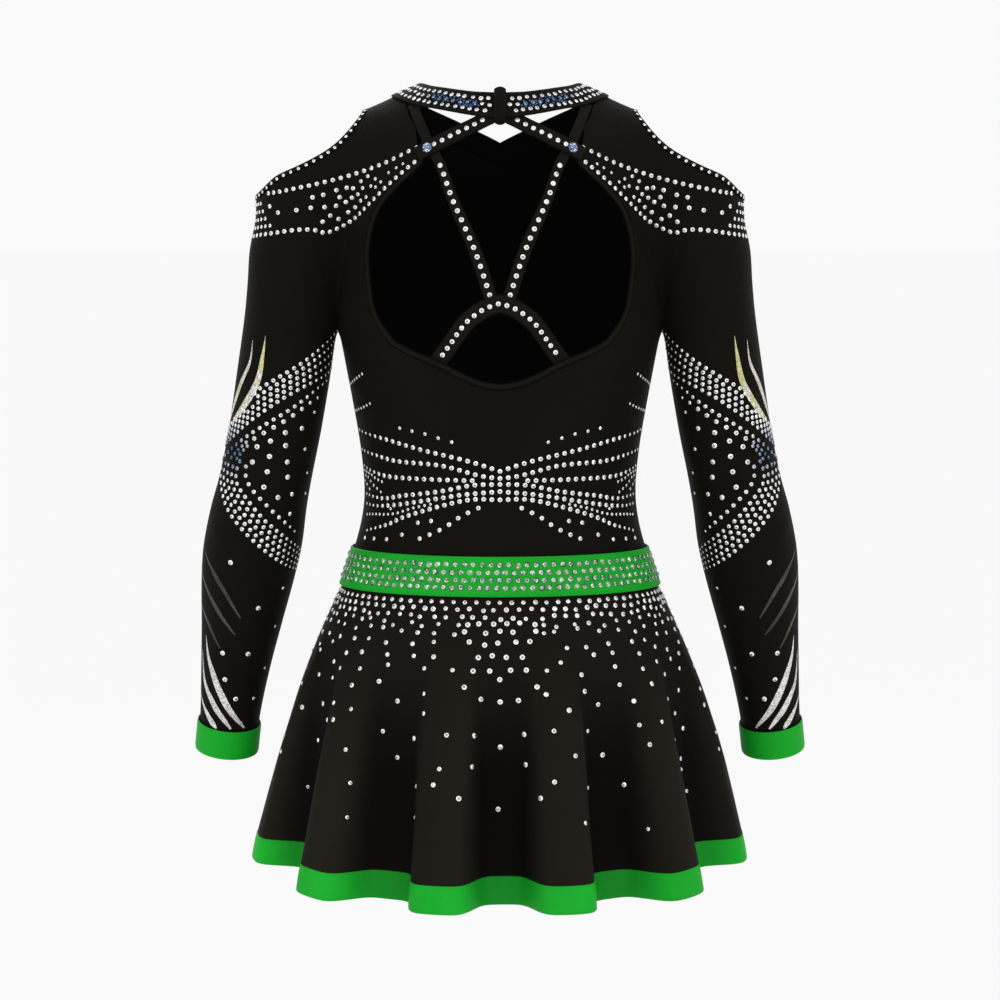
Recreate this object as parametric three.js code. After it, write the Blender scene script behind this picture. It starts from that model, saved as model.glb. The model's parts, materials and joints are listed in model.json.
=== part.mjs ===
// Long-sleeved cheerleading uniform, as worn and hollow: stretch bodice with an open keyhole back,
// cold shoulders, crossed straps, neckband, waistband, flared skirt and cuffs.
// Millimetres, +Z up, origin at the centre of the neck opening, the garment's front faces -Y,
// the wearer's left is +X.
import * as THREE from 'three';

// ---- driving dimensions -------------------------------------------------------------------
const CLOTH = 1.2; // wall of the stretch cloth
const STRAP = 1.5; // wall of the stoned straps
const BAND = 2.0; // wall of the doubled waistband and hem band
const SLIM_BAND = 1.5; // wall of the neckband and cuffs
const SLIM_LAP = 1.9; // lift of the neckband and cuffs over the cloth below
const PART = 0.22; // how far each piece stands back from its seam line
const LAP = 2.1; // lift of the waistband over bodice and skirt
const HEM_Z = -667; // lower edge of the skirt at the centre back and front
const HEM_TALL = 22.5; // height of the hem band
const CUFF_TALL = 25; // height of the cuffs
const WAIST_TOP = -389; // upper edge of the waistband at the front
const WAIST_TALL = 33;
const WAIST_RISE = 4.5; // the waistband stands this much higher at the back
const CUFF_Z = -569.5; // mouth of the cuffs
const WAIST_LAP = 3.5; // bodice and skirt run this far under the waistband

// ---- the figure's surface, as tables of sections --------------------------------------------
// Torso: half width, depth behind and depth in front of the side line.
const TORSO = table(['z', 'half', 'back', 'front'], [
  [-460, 151, 106, 100],
  [-432, 139.5, 98, 94],
  [-416, 133.6, 94, 92],
  [-390, 125, 88, 89],
  [-364, 118, 83.5, 87],
  [-338, 115.2, 82, 87],
  [-299, 118.5, 84, 90],
  [-260, 125, 88, 95],
  [-222, 132, 93, 101],
  [-187, 138, 96, 105],
  [-155, 137, 97, 104],
  [-120, 134, 96, 100],
  [-90, 130, 92, 94],
  [-60, 121, 86, 86],
  [-40, 111, 81, 79],
  [-20, 96, 73, 68],
  [-10, 85, 66, 60],
  [-3, 76.5, 60.5, 54],
  [4, 66.5, 51, 45],
  [14, 48.5, 37.5, 33],
  [26, 20, 16, 14],
]);

// Arm: centre and half widths of the sections below the shoulder.
const ARM = table(['z', 'x', 'y', 'wide', 'deep'], [
  [-600, 244, -40, 24, 24.6],
  [-560, 239.2, -32, 24.4, 25],
  [-534, 235.9, -27, 25.3, 26],
  [-495, 230.4, -19, 28.9, 29.5],
  [-455, 224, -11, 33.6, 33.5],
  [-416, 217.8, -3, 38.6, 38],
  [-385, 212.6, 4, 41, 40.5],
  [-351, 206.6, 8, 39.8, 40.5],
  [-325, 200.5, 9, 38.4, 39.5],
  [-286, 192.4, 9, 38.3, 39.5],
  [-235, 184.2, 7, 38.8, 40],
  [-187, 177.6, 5, 38.6, 40],
  [-160, 174, 4, 39.6, 40.5],
  [-132, 170, 3, 41.6, 42],
  [-107, 164, 2, 42.4, 43.2],
  [-75, 158, 0, 43.5, 43.5],
]);

const SHOULDER = { inner: v(75, 2, -47), outer: v(158, 0, -75), innerR: 43, outerR: 42.5, armR: 43.5 };
const BLEND = { neck: 20, armpit: 8, shoulder: 19, low: -200, high: -110 };

// ---- the skirt: its outline below the waist and its folds ---------------------------------------
const FLARE = table(['z', 'half'], [
  [-667, 195.8],
  [-654, 193.6],
  [-627, 187.5],
  [-600, 182.7],
  [-574, 178.8],
  [-548, 174.6],
  [-508, 167.3],
  [-468, 155.9],
  [-442, 145.3],
  [-429, 139.6],
  [-422, 135.3],
  [-416, 132.8],
]);
const HEM_DEPTH = { back: 158, front: 152 };
const DEPTH_LAG = 1.3; // the depth grows later down the skirt than the width
// Crest of each fold, in degrees round from the centre back toward the wearer's left.
const FOLD_CRESTS = [-146, -116, -85, -47.8, -15.7, 14, 48.3, 84, 115, 146, 178];
const FOLD_DEEP = 19; // crest above the mean line at the hem
const FOLD_SHARP = 2.3; // how square a fold's section is
const FOLD_START = -440; // height where the folds begin
const FOLD_FULL = -640; // height where they are full
const FOLD_STEPS = 10; // columns from crest to crest
// The hem hangs higher at the sides: it rises between two angles round from the centre back,
// in degrees, and comes down again between two more.
const SIDE_LIFT = { by: 12, from: 38, full: 92, fade: 105, end: 150 };

// ---- edges -----------------------------------------------------------------------------------
// The cold shoulder opens round an axis through the shoulder's centre, tilted `lean` degrees up
// from sideways. Half the opening, in degrees, from the inner tip (0) round to the outer (180).
const CUT_LEAN = 57.5;
const CUT_OPEN = table(['round', 'open'], [
  [0, 67.5],
  [30, 71.5],
  [45, 72.8],
  [60, 72.5],
  [90, 69.3],
  [120, 65.5],
  [150, 69.5],
  [180, 71],
]);
const CUT_BINDING = 4; // width of the binding round a cold shoulder
const KEYHOLE_BINDING = 5; // width of the binding round the keyhole
const BUTT = 0.6; // gap between a binding and its panel
const ARMPIT = { x: 138.9, low: -215, high: -150 }; // the web between body and arm lies in here

// ---- small helpers --------------------------------------------------------------------------
function v(x, y, z) {
  return new THREE.Vector3(x, y, z);
}

function table(names, rows) {
  const columns = names.length - 1;
  const z = rows.map((row) => row[0]);
  const slope = rows.map((row, i) => {
    const a = rows[Math.max(i - 1, 0)];
    const b = rows[Math.min(i + 1, rows.length - 1)];
    return row.map((_, c) => (b[c] - a[c]) / (b[0] - a[0]));
  });
  return { names, rows, z, slope, columns };
}

// Smooth reading of a table at height z, as an array of its columns.
function read(tab, height) {
  const last = tab.z.length - 1;
  const z = Math.min(Math.max(height, tab.z[0]), tab.z[last]);
  let i = 0;
  while (i < last - 1 && tab.z[i + 1] < z) i += 1;
  const h = tab.z[i + 1] - tab.z[i];
  const s = (z - tab.z[i]) / h;
  const w0 = 2 * s ** 3 - 3 * s ** 2 + 1;
  const w1 = 1 - w0;
  const m0 = (s ** 3 - 2 * s ** 2 + s) * h;
  const m1 = (s ** 3 - s ** 2) * h;
  const out = [];
  for (let c = 1; c <= tab.columns; c += 1) {
    const p0 = tab.rows[i][c];
    const p1 = tab.rows[i + 1][c];
    out.push(w0 * p0 + w1 * p1 + m0 * tab.slope[i][c] + m1 * tab.slope[i + 1][c]);
  }
  return out;
}

const clamp01 = (t) => Math.min(Math.max(t, 0), 1);
const ease = (a, b, x) => {
  const t = clamp01((x - a) / (b - a));
  return t * t * (3 - 2 * t);
};
const radians = (degrees) => (degrees * Math.PI) / 180;
const flip = (p) => v(-p.x, p.y, p.z);
const mix = (a, b, t) => a.clone().lerp(b, t);
// The mirror image of a point, and of the way out that an edge point carries.
const mirror = (p) => (p.out ? Object.assign(flip(p), { out: flip(p.out) }) : flip(p));

function blend(a, b, width) {
  const h = Math.max(width - Math.abs(a - b), 0) / width;
  return Math.min(a, b) - (h * h * width) / 4;
}

// ---- the figure's surface ---------------------------------------------------------------------
const UPPER_ARM = SHOULDER.outer.clone().sub(SHOULDER.inner);

// Rough distance of a point outside the figure; both sides alike.
function figure(p) {
  const x = Math.abs(p.x);
  const [half, back, front] = read(TORSO, p.z);
  const depth = p.y > 0 ? back : front;
  const torso = (Math.hypot(x / half, p.y / depth) - 1) * Math.min(half, depth);
  const q = v(x, p.y, p.z);
  const rel = q.clone().sub(SHOULDER.inner);
  const t = clamp01(rel.dot(UPPER_ARM) / UPPER_ARM.lengthSq());
  const capR = SHOULDER.innerR + (SHOULDER.outerR - SHOULDER.innerR) * t;
  const cap = rel.addScaledVector(UPPER_ARM, -t).length() - capR;
  let arm = q.distanceTo(SHOULDER.outer) - SHOULDER.armR;
  if (p.z < SHOULDER.outer.z) {
    const [cx, cy, wide, deep] = read(ARM, p.z);
    arm = (Math.hypot((x - cx) / wide, (p.y - cy) / deep) - 1) * Math.min(wide, deep);
  }
  const reach = BLEND.shoulder - BLEND.armpit;
  const width = BLEND.armpit + reach * ease(BLEND.low, BLEND.high, p.z);
  return blend(blend(torso, cap, BLEND.neck), arm, width);
}

const PROBE = 0.05;
function steepest(p) {
  const g = v(0, 0, 0);
  for (const axis of ['x', 'y', 'z']) {
    const a = p.clone();
    const b = p.clone();
    a[axis] += PROBE;
    b[axis] -= PROBE;
    g[axis] = (figure(a) - figure(b)) / (2 * PROBE);
  }
  return g;
}

const LONGEST_STEP = 12;
const SETTLED = 1e-4;
// The point moved to the figure's surface along the steepest way.
function settle(point) {
  const p = point.clone();
  for (let turn = 0; turn < 16; turn += 1) {
    const f = figure(p);
    if (Math.abs(f) < SETTLED) break;
    const g = steepest(p);
    const step = g.multiplyScalar(f / Math.max(g.lengthSq(), 1e-6));
    p.sub(step.clampLength(0, LONGEST_STEP));
  }
  return p;
}

const outward = (p) => steepest(p).normalize();

// Where a rising function crosses nought between two values.
function halve(from, to, rising) {
  let [low, high] = [from, to];
  for (let turn = 0; turn < 30; turn += 1) {
    const middle = (low + high) / 2;
    if (rising(middle) < 0) low = middle;
    else high = middle;
  }
  return low;
}

// ---- curves --------------------------------------------------------------------------------------
// A smooth line through the given points, at equal steps, settled on the figure.
function seam(points, steps) {
  const fine = new THREE.CatmullRomCurve3(points, false, 'catmullrom', 0.5);
  const line = fine.getPoints(points.length * 12).map(settle);
  const length = [0];
  for (let i = 1; i < line.length; i += 1) {
    length.push(length[i - 1] + line[i].distanceTo(line[i - 1]));
  }
  const out = [];
  let k = 0;
  for (let i = 0; i <= steps; i += 1) {
    const want = (length[length.length - 1] * i) / steps;
    while (k < line.length - 2 && length[k + 1] < want) k += 1;
    const t = (want - length[k]) / Math.max(length[k + 1] - length[k], 1e-9);
    out.push(mix(line[k], line[k + 1], clamp01(t)));
  }
  return out.map(settle);
}

const join = (...lines) => lines.flatMap((line, i) => (i ? line.slice(1) : line));

// Line `a` moved along the surface, square to itself, toward line `b`; `distance` may vary. Each
// point keeps the line's own way out, so that the edges that face each other there stay parallel.
function standBack(a, b, distance, closed = false) {
  const n = a.length;
  const far = typeof distance === 'number' ? () => distance : distance;
  return a.map((p, i) => {
    const out = outward(p);
    if (far(i) === 0) return Object.assign(p.clone(), { out });
    const next = closed ? a[(i + 1) % n] : a[Math.min(i + 1, n - 1)];
    const before = closed ? a[(i + n - 1) % n] : a[Math.max(i - 1, 0)];
    const side = next.clone().sub(before).cross(out).normalize();
    const sign = side.dot(b[i].clone().sub(p)) < 0 ? -1 : 1;
    return Object.assign(settle(p.clone().addScaledVector(side, sign * far(i))), { out });
  });
}

// Rows of points between two lines, on the figure; the first and last rows are the lines.
function between(a, b, rows) {
  const grid = [];
  for (let r = 0; r <= rows; r += 1) {
    grid.push(a.map((p, i) => (r === 0 ? p : r === rows ? b[i] : settle(mix(p, b[i], r / rows)))));
  }
  return grid;
}

// A line with its mirror image: from the line's start, round its end, to the image's start.
const bothSides = (line) => [...line, ...line.slice(0, -1).reverse().map(mirror)];
// A closed ring from a half that starts and ends on the middle plane.
const ringOf = (half) => [...half, ...half.slice(1, -1).reverse().map(mirror)];

// ---- walls ---------------------------------------------------------------------------------------
const group = new THREE.Group();
group.name = 'cheer_uniform';

function addPiece(name, colour, corners, faces) {
  let volume = 0;
  for (const [a, b, c] of faces) {
    volume += corners[a].dot(corners[b].clone().cross(corners[c])) / 6;
  }
  const index = faces.flatMap(([a, b, c]) => (volume < 0 ? [a, c, b] : [a, b, c]));
  const geometry = new THREE.BufferGeometry();
  const flat = corners.flatMap((p) => [p.x, p.y, p.z]);
  geometry.setAttribute('position', new THREE.Float32BufferAttribute(flat, 3));
  geometry.setIndex(index);
  const material = new THREE.MeshStandardMaterial({ color: colour.hex, roughness: colour.rough });
  const mesh = new THREE.Mesh(geometry, material);
  mesh.name = name;
  group.add(mesh);
  return mesh;
}

// A closed wall on a grid of points. `lift(r, c)` gives how far the inside and the outside stand
// off the points, `up` the direction at a point. `ring` joins each row's end to its start.
function wall(name, colour, grid, lift, ring = false, up = (p) => p.out ?? outward(p)) {
  const rows = grid.length;
  const cols = grid[0].length;
  const corners = [];
  const at = (side, r, c) => (side * rows + r) * cols + (c % cols);
  const normals = grid.map((row, r) => row.map((p, c) => up(p, r, c)));
  for (const side of [0, 1]) {
    for (let r = 0; r < rows; r += 1) {
      for (let c = 0; c < cols; c += 1) {
        corners.push(grid[r][c].clone().addScaledVector(normals[r][c], lift(r, c)[side]));
      }
    }
  }
  const faces = [];
  const quad = (a, b, c, d) => faces.push([a, b, c], [a, c, d]);
  const lastCol = ring ? cols : cols - 1;
  for (let r = 0; r < rows - 1; r += 1) {
    for (let c = 0; c < lastCol; c += 1) {
      quad(at(1, r, c), at(1, r, c + 1), at(1, r + 1, c + 1), at(1, r + 1, c));
      quad(at(0, r, c), at(0, r + 1, c), at(0, r + 1, c + 1), at(0, r, c + 1));
    }
    if (!ring) {
      quad(at(0, r, 0), at(1, r, 0), at(1, r + 1, 0), at(0, r + 1, 0));
      quad(at(0, r, cols - 1), at(0, r + 1, cols - 1), at(1, r + 1, cols - 1), at(1, r, cols - 1));
    }
  }
  for (let c = 0; c < lastCol; c += 1) {
    quad(at(0, 0, c), at(0, 0, c + 1), at(1, 0, c + 1), at(1, 0, c));
    const r = rows - 1;
    quad(at(0, r, c), at(1, r, c), at(1, r, c + 1), at(0, r, c + 1));
  }
  return addPiece(name, colour, corners, faces);
}

const even = (low, high) => () => [low, high];

// ---- finishes ------------------------------------------------------------------------------------
const BLACK = { hex: 0x14130f, rough: 0.62 };
const GREEN = { hex: 0x1f9a2c, rough: 0.42 };
const STONE = { hex: 0xb9d4ea, rough: 0.12 };

// ---- seam lines of the +X half, each from the neck outward or downward ---------------------------
const CUT_AXIS = v(Math.cos(radians(CUT_LEAN)), 0, Math.sin(radians(CUT_LEAN)));
const CUT_OUT = v(CUT_AXIS.z, 0, -CUT_AXIS.x);

// A point of the cold-shoulder edge, at angle `a` from its inner tip, positive to the back.
function cutPoint(a) {
  const round = Math.abs(Math.atan2(Math.sin(a), Math.cos(a)));
  const open = radians(read(CUT_OPEN, (round * 180) / Math.PI)[0]);
  const way = CUT_AXIS.clone().multiplyScalar(Math.cos(open));
  way.addScaledVector(CUT_OUT, -Math.sin(open) * Math.cos(a));
  way.y = Math.sin(open) * Math.sin(a);
  const reach = halve(20, 120, (far) => figure(SHOULDER.outer.clone().addScaledVector(way, far)));
  return SHOULDER.outer.clone().addScaledVector(way, reach);
}

const STEPS = { neck: 5, armhole: 7, side: 8, waist: 8, outerCut: 6 };
const QUARTER = Math.PI / 2;

// The cold-shoulder edge as a ring: back inner quarter, outer half, front inner quarter.
const cutAngles = [];
for (let i = 0; i < STEPS.neck; i += 1) cutAngles.push((QUARTER * i) / STEPS.neck);
for (let i = 0; i < 2 * STEPS.outerCut; i += 1) {
  cutAngles.push(QUARTER + (2 * QUARTER * i) / (2 * STEPS.outerCut));
}
for (let i = 0; i < STEPS.neck; i += 1) cutAngles.push(3 * QUARTER + (QUARTER * i) / STEPS.neck);
const cutEdge = cutAngles.map(cutPoint);
const cutMiddle = SHOULDER.outer.clone().addScaledVector(CUT_AXIS, SHOULDER.outerR / 2);
const beyondCut = cutEdge.map((p) => p.clone().multiplyScalar(2).sub(cutMiddle));
const cutBound = standBack(cutEdge, beyondCut, CUT_BINDING, true);
const cutPanel = standBack(cutEdge, beyondCut, CUT_BINDING + BUTT, true);
const cutRing = cutEdge.length;
const backCorner = STEPS.neck;
const frontCorner = STEPS.neck + 2 * STEPS.outerCut;
const innerCutBack = cutPanel.slice(0, backCorner + 1);
const innerCutFront = [cutPanel[0], ...cutPanel.slice(frontCorner, cutRing).reverse()];
const outerCut = cutPanel.slice(backCorner, frontCorner + 1);

// The lowest point of the web between body and arm.
const pitDrop = halve(-ARMPIT.high, -ARMPIT.low, (drop) => figure(v(ARMPIT.x, 0, -drop)));
const pitPoint = v(ARMPIT.x, 0, -pitDrop);
const armholeBack = seam(
  [
    outerCut[0],
    v(152, 50, -88),
    v(150.4, 45.3, -121),
    v(145.5, 31.2, -163),
    v(140.5, 12, -186),
    pitPoint,
  ],
  STEPS.armhole,
);
const armholeFront = seam(
  [
    outerCut[outerCut.length - 1],
    v(151, -50, -88),
    v(149, -45.3, -121),
    v(144.5, -31, -163),
    v(140.5, -12, -186),
    pitPoint,
  ],
  STEPS.armhole,
);

const waistLine = (angle) => WAIST_RISE * 0.5 * (1 + Math.cos(angle));
// A point level with the waistband, `drop` below its nominal top, at an angle from the back.
function waistPoint(angle, drop) {
  const z = WAIST_TOP - drop + waistLine(angle);
  const [half, back, front] = read(TORSO, z);
  const depth = Math.cos(angle) > 0 ? back : front;
  return settle(v(half * Math.sin(angle), depth * Math.cos(angle), z));
}

const sideHeights = [-222, -260, -299, -338, -364];
const sidePoints = sideHeights.map((z) => v(read(TORSO, z)[0], 0, z));
const sideSeam = seam([pitPoint, ...sidePoints, waistPoint(QUARTER, WAIST_LAP)], STEPS.side);

function waistQuarter(start, end) {
  const line = [];
  for (let i = 0; i <= STEPS.waist; i += 1) {
    line.push(waistPoint(start + ((end - start) * i) / STEPS.waist, WAIST_LAP));
  }
  return line;
}
const waistBack = waistQuarter(QUARTER, 0);
const waistFront = waistQuarter(QUARTER, 2 * QUARTER);

const strapSide = seam(
  [
    v(88.5, 0, -1),
    v(83, 28, -5),
    v(79.5, 36, -8),
    v(75.5, 48, -20),
    v(69.5, 58.6, -31.5),
    v(65.5, 66.8, -44),
  ],
  STEPS.neck,
);
const keyholeUpper = seam(
  [
    strapSide[STEPS.neck],
    v(62, 72.6, -55),
    v(68.8, 72, -64.6),
    v(86.4, 66.6, -81),
    v(99.5, 60.9, -97.5),
    v(105.5, 58.4, -114),
    v(107.2, 57.9, -122.4),
  ],
  STEPS.armhole,
);
const keyholeSide = seam(
  [
    keyholeUpper[STEPS.armhole],
    v(108.5, 58.3, -139),
    v(105.2, 62.7, -172),
    v(99.7, 66.3, -188),
    v(87.5, 72.3, -205),
  ],
  STEPS.side,
);
const keyholeFoot = seam(
  [
    keyholeSide[STEPS.side],
    v(72.8, 78.9, -212.6),
    v(51, 86.2, -221.2),
    v(33, 89.4, -230.4),
    v(16, 90.4, -237.3),
    v(5, 90.7, -239.7),
    v(0, 90.7, -239.9),
  ],
  STEPS.waist,
);
const backEdge = join(strapSide, keyholeUpper, keyholeSide, keyholeFoot);
const backRim = join(innerCutBack, armholeBack, sideSeam, waistBack);

const frontNeck = [
  v(60, -57, -31.5),
  v(33, -76, -47),
  v(18, -83, -54),
  v(8, -86, -58),
  v(0, -87.5, -61),
];
const frontEdge = join(
  seam([v(88.5, 0, -1), v(81, -28, -12.5), frontNeck[0]], STEPS.neck),
  seam([frontNeck[0], frontNeck[1]], STEPS.armhole),
  seam([frontNeck[1], frontNeck[2]], STEPS.side),
  seam([frontNeck[2], frontNeck[3], frontNeck[4]], STEPS.waist),
);
const frontRim = join(innerCutFront, armholeFront, sideSeam, waistFront);

// ---- bodice ------------------------------------------------------------------------------------------
const waistStart = STEPS.neck + STEPS.armhole + STEPS.side;
const pit = STEPS.neck + STEPS.armhole;
// Pieces part a little more where the cloth turns tightly, toward the armpit.
const pitPart = (away) => PART * (1 + 1.8 * (1 - ease(2, 7, away)));
const rimPart = (i) => (i < STEPS.neck || i > waistStart ? 0 : pitPart(Math.abs(i - pit)));

// Both sides of a body panel, from its shoulder seam round the waist to the other shoulder seam.
function bodyPanel(name, edge, rim, edgeBack, rows, toward) {
  const inner = standBack(edge, rim, edgeBack);
  const outer = standBack(rim, edge, rimPart);
  // At the armpit the panel also parts from the other panel.
  const pitEdge = rim[pit].clone().add(v(-1.5 * PART, 2.5 * toward * PART, 0));
  outer[pit] = Object.assign(pitEdge, { out: v(0, 0, -1) });
  const grid = between(inner, outer, rows).map((row) => {
    const cut = row.map((p, i) => (i ? p : settle(p.clone().add(v(0, toward * PART, 0)))));
    return bothSides(cut);
  });
  return wall(name, BLACK, grid, even(0, CLOTH));
}

const keyholeBack = (i) => (KEYHOLE_BINDING + BUTT) * clamp01((i - STEPS.neck + 1) / 2);
bodyPanel('back_bodice', backEdge, backRim, keyholeBack, 8, 1);
bodyPanel('front_bodice', frontEdge, frontRim, 0, 9, -1);

const BINDING_LIFT = even(-0.5, 1.7);
const keyholeHalf = backEdge.slice(STEPS.neck + 1);
const keyholeOuter = standBack(backEdge, backRim, KEYHOLE_BINDING).slice(STEPS.neck + 1);
wall('keyhole_binding', BLACK, [bothSides(keyholeHalf), bothSides(keyholeOuter)], BINDING_LIFT);

// ---- sleeves -----------------------------------------------------------------------------------------
const SLEEVE_FREE = -240; // below this the sleeve's sections are even rings
const SLEEVE_END = CUFF_Z + CUFF_TALL - 3;
const TILT_FROM = -240;
const TILT_FULL = -420;

// A ring round the arm at height z, square to the arm toward the wrist; angle 0 faces the body.
function armRing(z, count, phase = 0) {
  const [x, y] = read(ARM, z);
  const [nx, ny] = read(ARM, z - 10);
  const [, , wide, deep] = read(ARM, z);
  const tilt = 1 - ease(TILT_FULL, TILT_FROM, z);
  const along = v((nx - x) * tilt, (ny - y) * tilt, -10).normalize();
  const across = v(-1, 0, 0);
  across.addScaledVector(along, -across.dot(along)).normalize();
  const behind = along.clone().cross(across).normalize();
  if (behind.y < 0) behind.negate();
  const ring = [];
  for (let i = 0; i < count; i += 1) {
    const a = phase + (2 * Math.PI * i) / count;
    const p = v(x, y, z).addScaledVector(across, wide * Math.cos(a));
    ring.push(settle(p.addScaledVector(behind, deep * Math.sin(a))));
  }
  return ring;
}

// The sleeve's upper edge from the armpit up behind, over the outside and down in front.
const sleeveTop = [
  ...armholeBack.slice(1).reverse(),
  ...outerCut,
  ...armholeFront.slice(1, -1),
];
const sleeveCols = sleeveTop.length;
const sleeveFree = armRing(SLEEVE_FREE, sleeveCols);
const onArmhole = (i) => i < STEPS.armhole || i > STEPS.armhole + 2 * STEPS.outerCut;
const fromPit = (i) => Math.min(i, sleeveCols - i);
const headPart = (i) => (onArmhole(i) ? pitPart(fromPit(i)) : 0.5 * PART);
const sleeveHead = standBack(sleeveTop, sleeveFree, headPart, true);
const SLEEVE_HEAD_ROWS = 7;
const SLEEVE_HEIGHTS = [-262, -284, -306, -326, -344, -362, -382, -404, -428, -454, -482, -512];
const sleeveGrid = between(sleeveHead, sleeveFree, SLEEVE_HEAD_ROWS);
for (const z of [...SLEEVE_HEIGHTS, SLEEVE_END]) sleeveGrid.push(armRing(z, sleeveCols));

const CUFF_ROWS = 2;
const cuffGrid = [];
for (let r = 0; r <= CUFF_ROWS; r += 1) {
  cuffGrid.push(armRing(CUFF_Z + CUFF_TALL - (CUFF_TALL * r) / CUFF_ROWS, sleeveCols));
}
const CUFF_FLARE = 0.5; // the cuff stands this much wider at its mouth

const cuffLift = (r) => {
  const flare = (CUFF_FLARE * r) / CUFF_ROWS;
  return [SLIM_LAP + flare, SLIM_LAP + SLIM_BAND + flare];
};

// ---- skirt -------------------------------------------------------------------------------------------
const SKIRT_TOP = WAIST_TOP - WAIST_TALL + WAIST_LAP + 1.5;
const crests = FOLD_CRESTS.map(radians);
const skirtAngles = crests.flatMap((a, i) => {
  const next = i + 1 < crests.length ? crests[i + 1] : crests[0] + 2 * Math.PI;
  return Array.from({ length: FOLD_STEPS }, (_, k) => [a + ((next - a) * k) / FOLD_STEPS, k]);
});

// How much higher the hem hangs at an angle than at the centre back.
function sideLift(angle) {
  const round = (Math.acos(Math.cos(angle)) * 180) / Math.PI;
  const { by, from, full, fade, end } = SIDE_LIFT;
  return by * ease(from, full, round) * (1 - ease(fade, end, round));
}

// A point of the skirt at column c and a share s of its length below the waistband. Its width,
// depth and fold are those of the level that the share would have if the hem were even.
function skirtPoint(c, s) {
  const [angle, k] = skirtAngles[c];
  const top = SKIRT_TOP + waistLine(angle);
  const z = top + (HEM_Z - top) * s;
  const [half] = read(FLARE, z + (SKIRT_TOP - top) * (1 - s));
  const open = (half - FLARE.rows[FLARE.rows.length - 1][1]) / (FLARE.rows[0][1] - half + 1e-9);
  const share = (open / (1 + open)) ** DEPTH_LAG;
  const behind = Math.cos(angle) > 0;
  const waist = read(TORSO, Math.max(z, SKIRT_TOP));
  const start = behind ? waist[1] : waist[2];
  const depth = start + ((behind ? HEM_DEPTH.back : HEM_DEPTH.front) - start) * share;
  const wave = Math.tanh(FOLD_SHARP * Math.cos((2 * Math.PI * k) / FOLD_STEPS));
  const fold = (FOLD_DEEP * wave * ease(FOLD_START, FOLD_FULL, z)) / Math.tanh(FOLD_SHARP);
  const height = z + sideLift(angle) * s;
  return v((half + fold) * Math.sin(angle), (depth + fold) * Math.cos(angle), height);
}

// The way out of the skirt's surface at a column and share, from its neighbours.
function skirtOut(c, s) {
  const n = skirtAngles.length;
  const across = skirtPoint((c + 1) % n, s).sub(skirtPoint((c + n - 1) % n, s));
  const down = skirtPoint(c, Math.min(s + 0.01, 1)).sub(skirtPoint(c, Math.max(s - 0.01, 0)));
  return across.cross(down).normalize();
}

function skirtWall(name, colour, shares, lift) {
  const grid = shares.map((s) => skirtAngles.map((_, c) => skirtPoint(c, s)));
  return wall(name, colour, grid, lift, true, (p, r, c) => skirtOut(c, shares[r]));
}

const skirtLength = SKIRT_TOP - HEM_Z;
const bandShare = 1 - HEM_TALL / skirtLength;
const SKIRT_ROWS = 7;
const skirtShares = Array.from(
  { length: SKIRT_ROWS + 1 },
  (_, r) => ((bandShare - BUTT / skirtLength) * r) / SKIRT_ROWS,
);
const BAND_PROUD = 0.4; // how far the hem band stands out from the skirt
skirtWall('skirt', BLACK, skirtShares, even(-CLOTH, 0));
skirtWall('hem_band', GREEN, [bandShare, 1], even(BAND_PROUD - BAND, BAND_PROUD));

// ---- waistband -----------------------------------------------------------------------------------------
const WAIST_COLUMNS = 60;
const waistGrid = [0, 0.5, 1].map((share) =>
  Array.from({ length: WAIST_COLUMNS }, (_, i) =>
    waistPoint((2 * Math.PI * i) / WAIST_COLUMNS, WAIST_TALL * share),
  ),
);
wall('waistband', GREEN, waistGrid, even(LAP, LAP + BAND), true);

// ---- neckband, V-shaped at the front and held in at the back -------------------------------------------
const BAND_STEPS = 30;
const bandUpper = seam(
  [
    v(0, 61, -3),
    v(21.5, 57.4, -1.8),
    v(41.5, 46.3, 1.4),
    v(58.5, 27.7, 5.2),
    v(67.6, 0, 8),
    v(66.3, -39.7, -9),
    v(33.1, -67.6, -25.7),
    v(0, -79.9, -42),
  ],
  BAND_STEPS,
);
const bandLower = seam(
  [
    v(0, 74.5, -23.2),
    v(18.1, 72.6, -21.7),
    v(41.2, 64.7, -17.9),
    v(65.5, 48.4, -13.1),
    v(79.3, 34.4, -8.2),
    v(89.9, 14, -4.5),
    v(91, -6, -4.5),
    v(84, -28, -15),
    v(62, -58, -34),
    v(34, -77, -50),
    v(0, -88.5, -64),
  ],
  BAND_STEPS,
);
const neckGrid = between(bandUpper, bandLower, 2).map(ringOf);
wall('neckband', BLACK, neckGrid, even(SLIM_LAP, SLIM_LAP + SLIM_BAND), true);

// ---- straps ------------------------------------------------------------------------------------------
// A strap along a line: `half(t)` is its half width, `leastX` keeps it off the middle plane.
function ribbon(name, line, half, lift, leastX = -Infinity) {
  const last = line.length - 1;
  const rows = [-1, 0, 1].map((side) =>
    line.map((p, i) => {
      const along = line[Math.min(i + 1, last)].clone().sub(line[Math.max(i - 1, 0)]).normalize();
      const across = along.cross(outward(p)).normalize();
      const q = p.clone().addScaledVector(across, side * half(i / last));
      q.x = Math.max(q.x, leastX);
      return settle(q);
    }),
  );
  return [name, rows, (r, c) => lift(c / last)];
}

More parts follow.
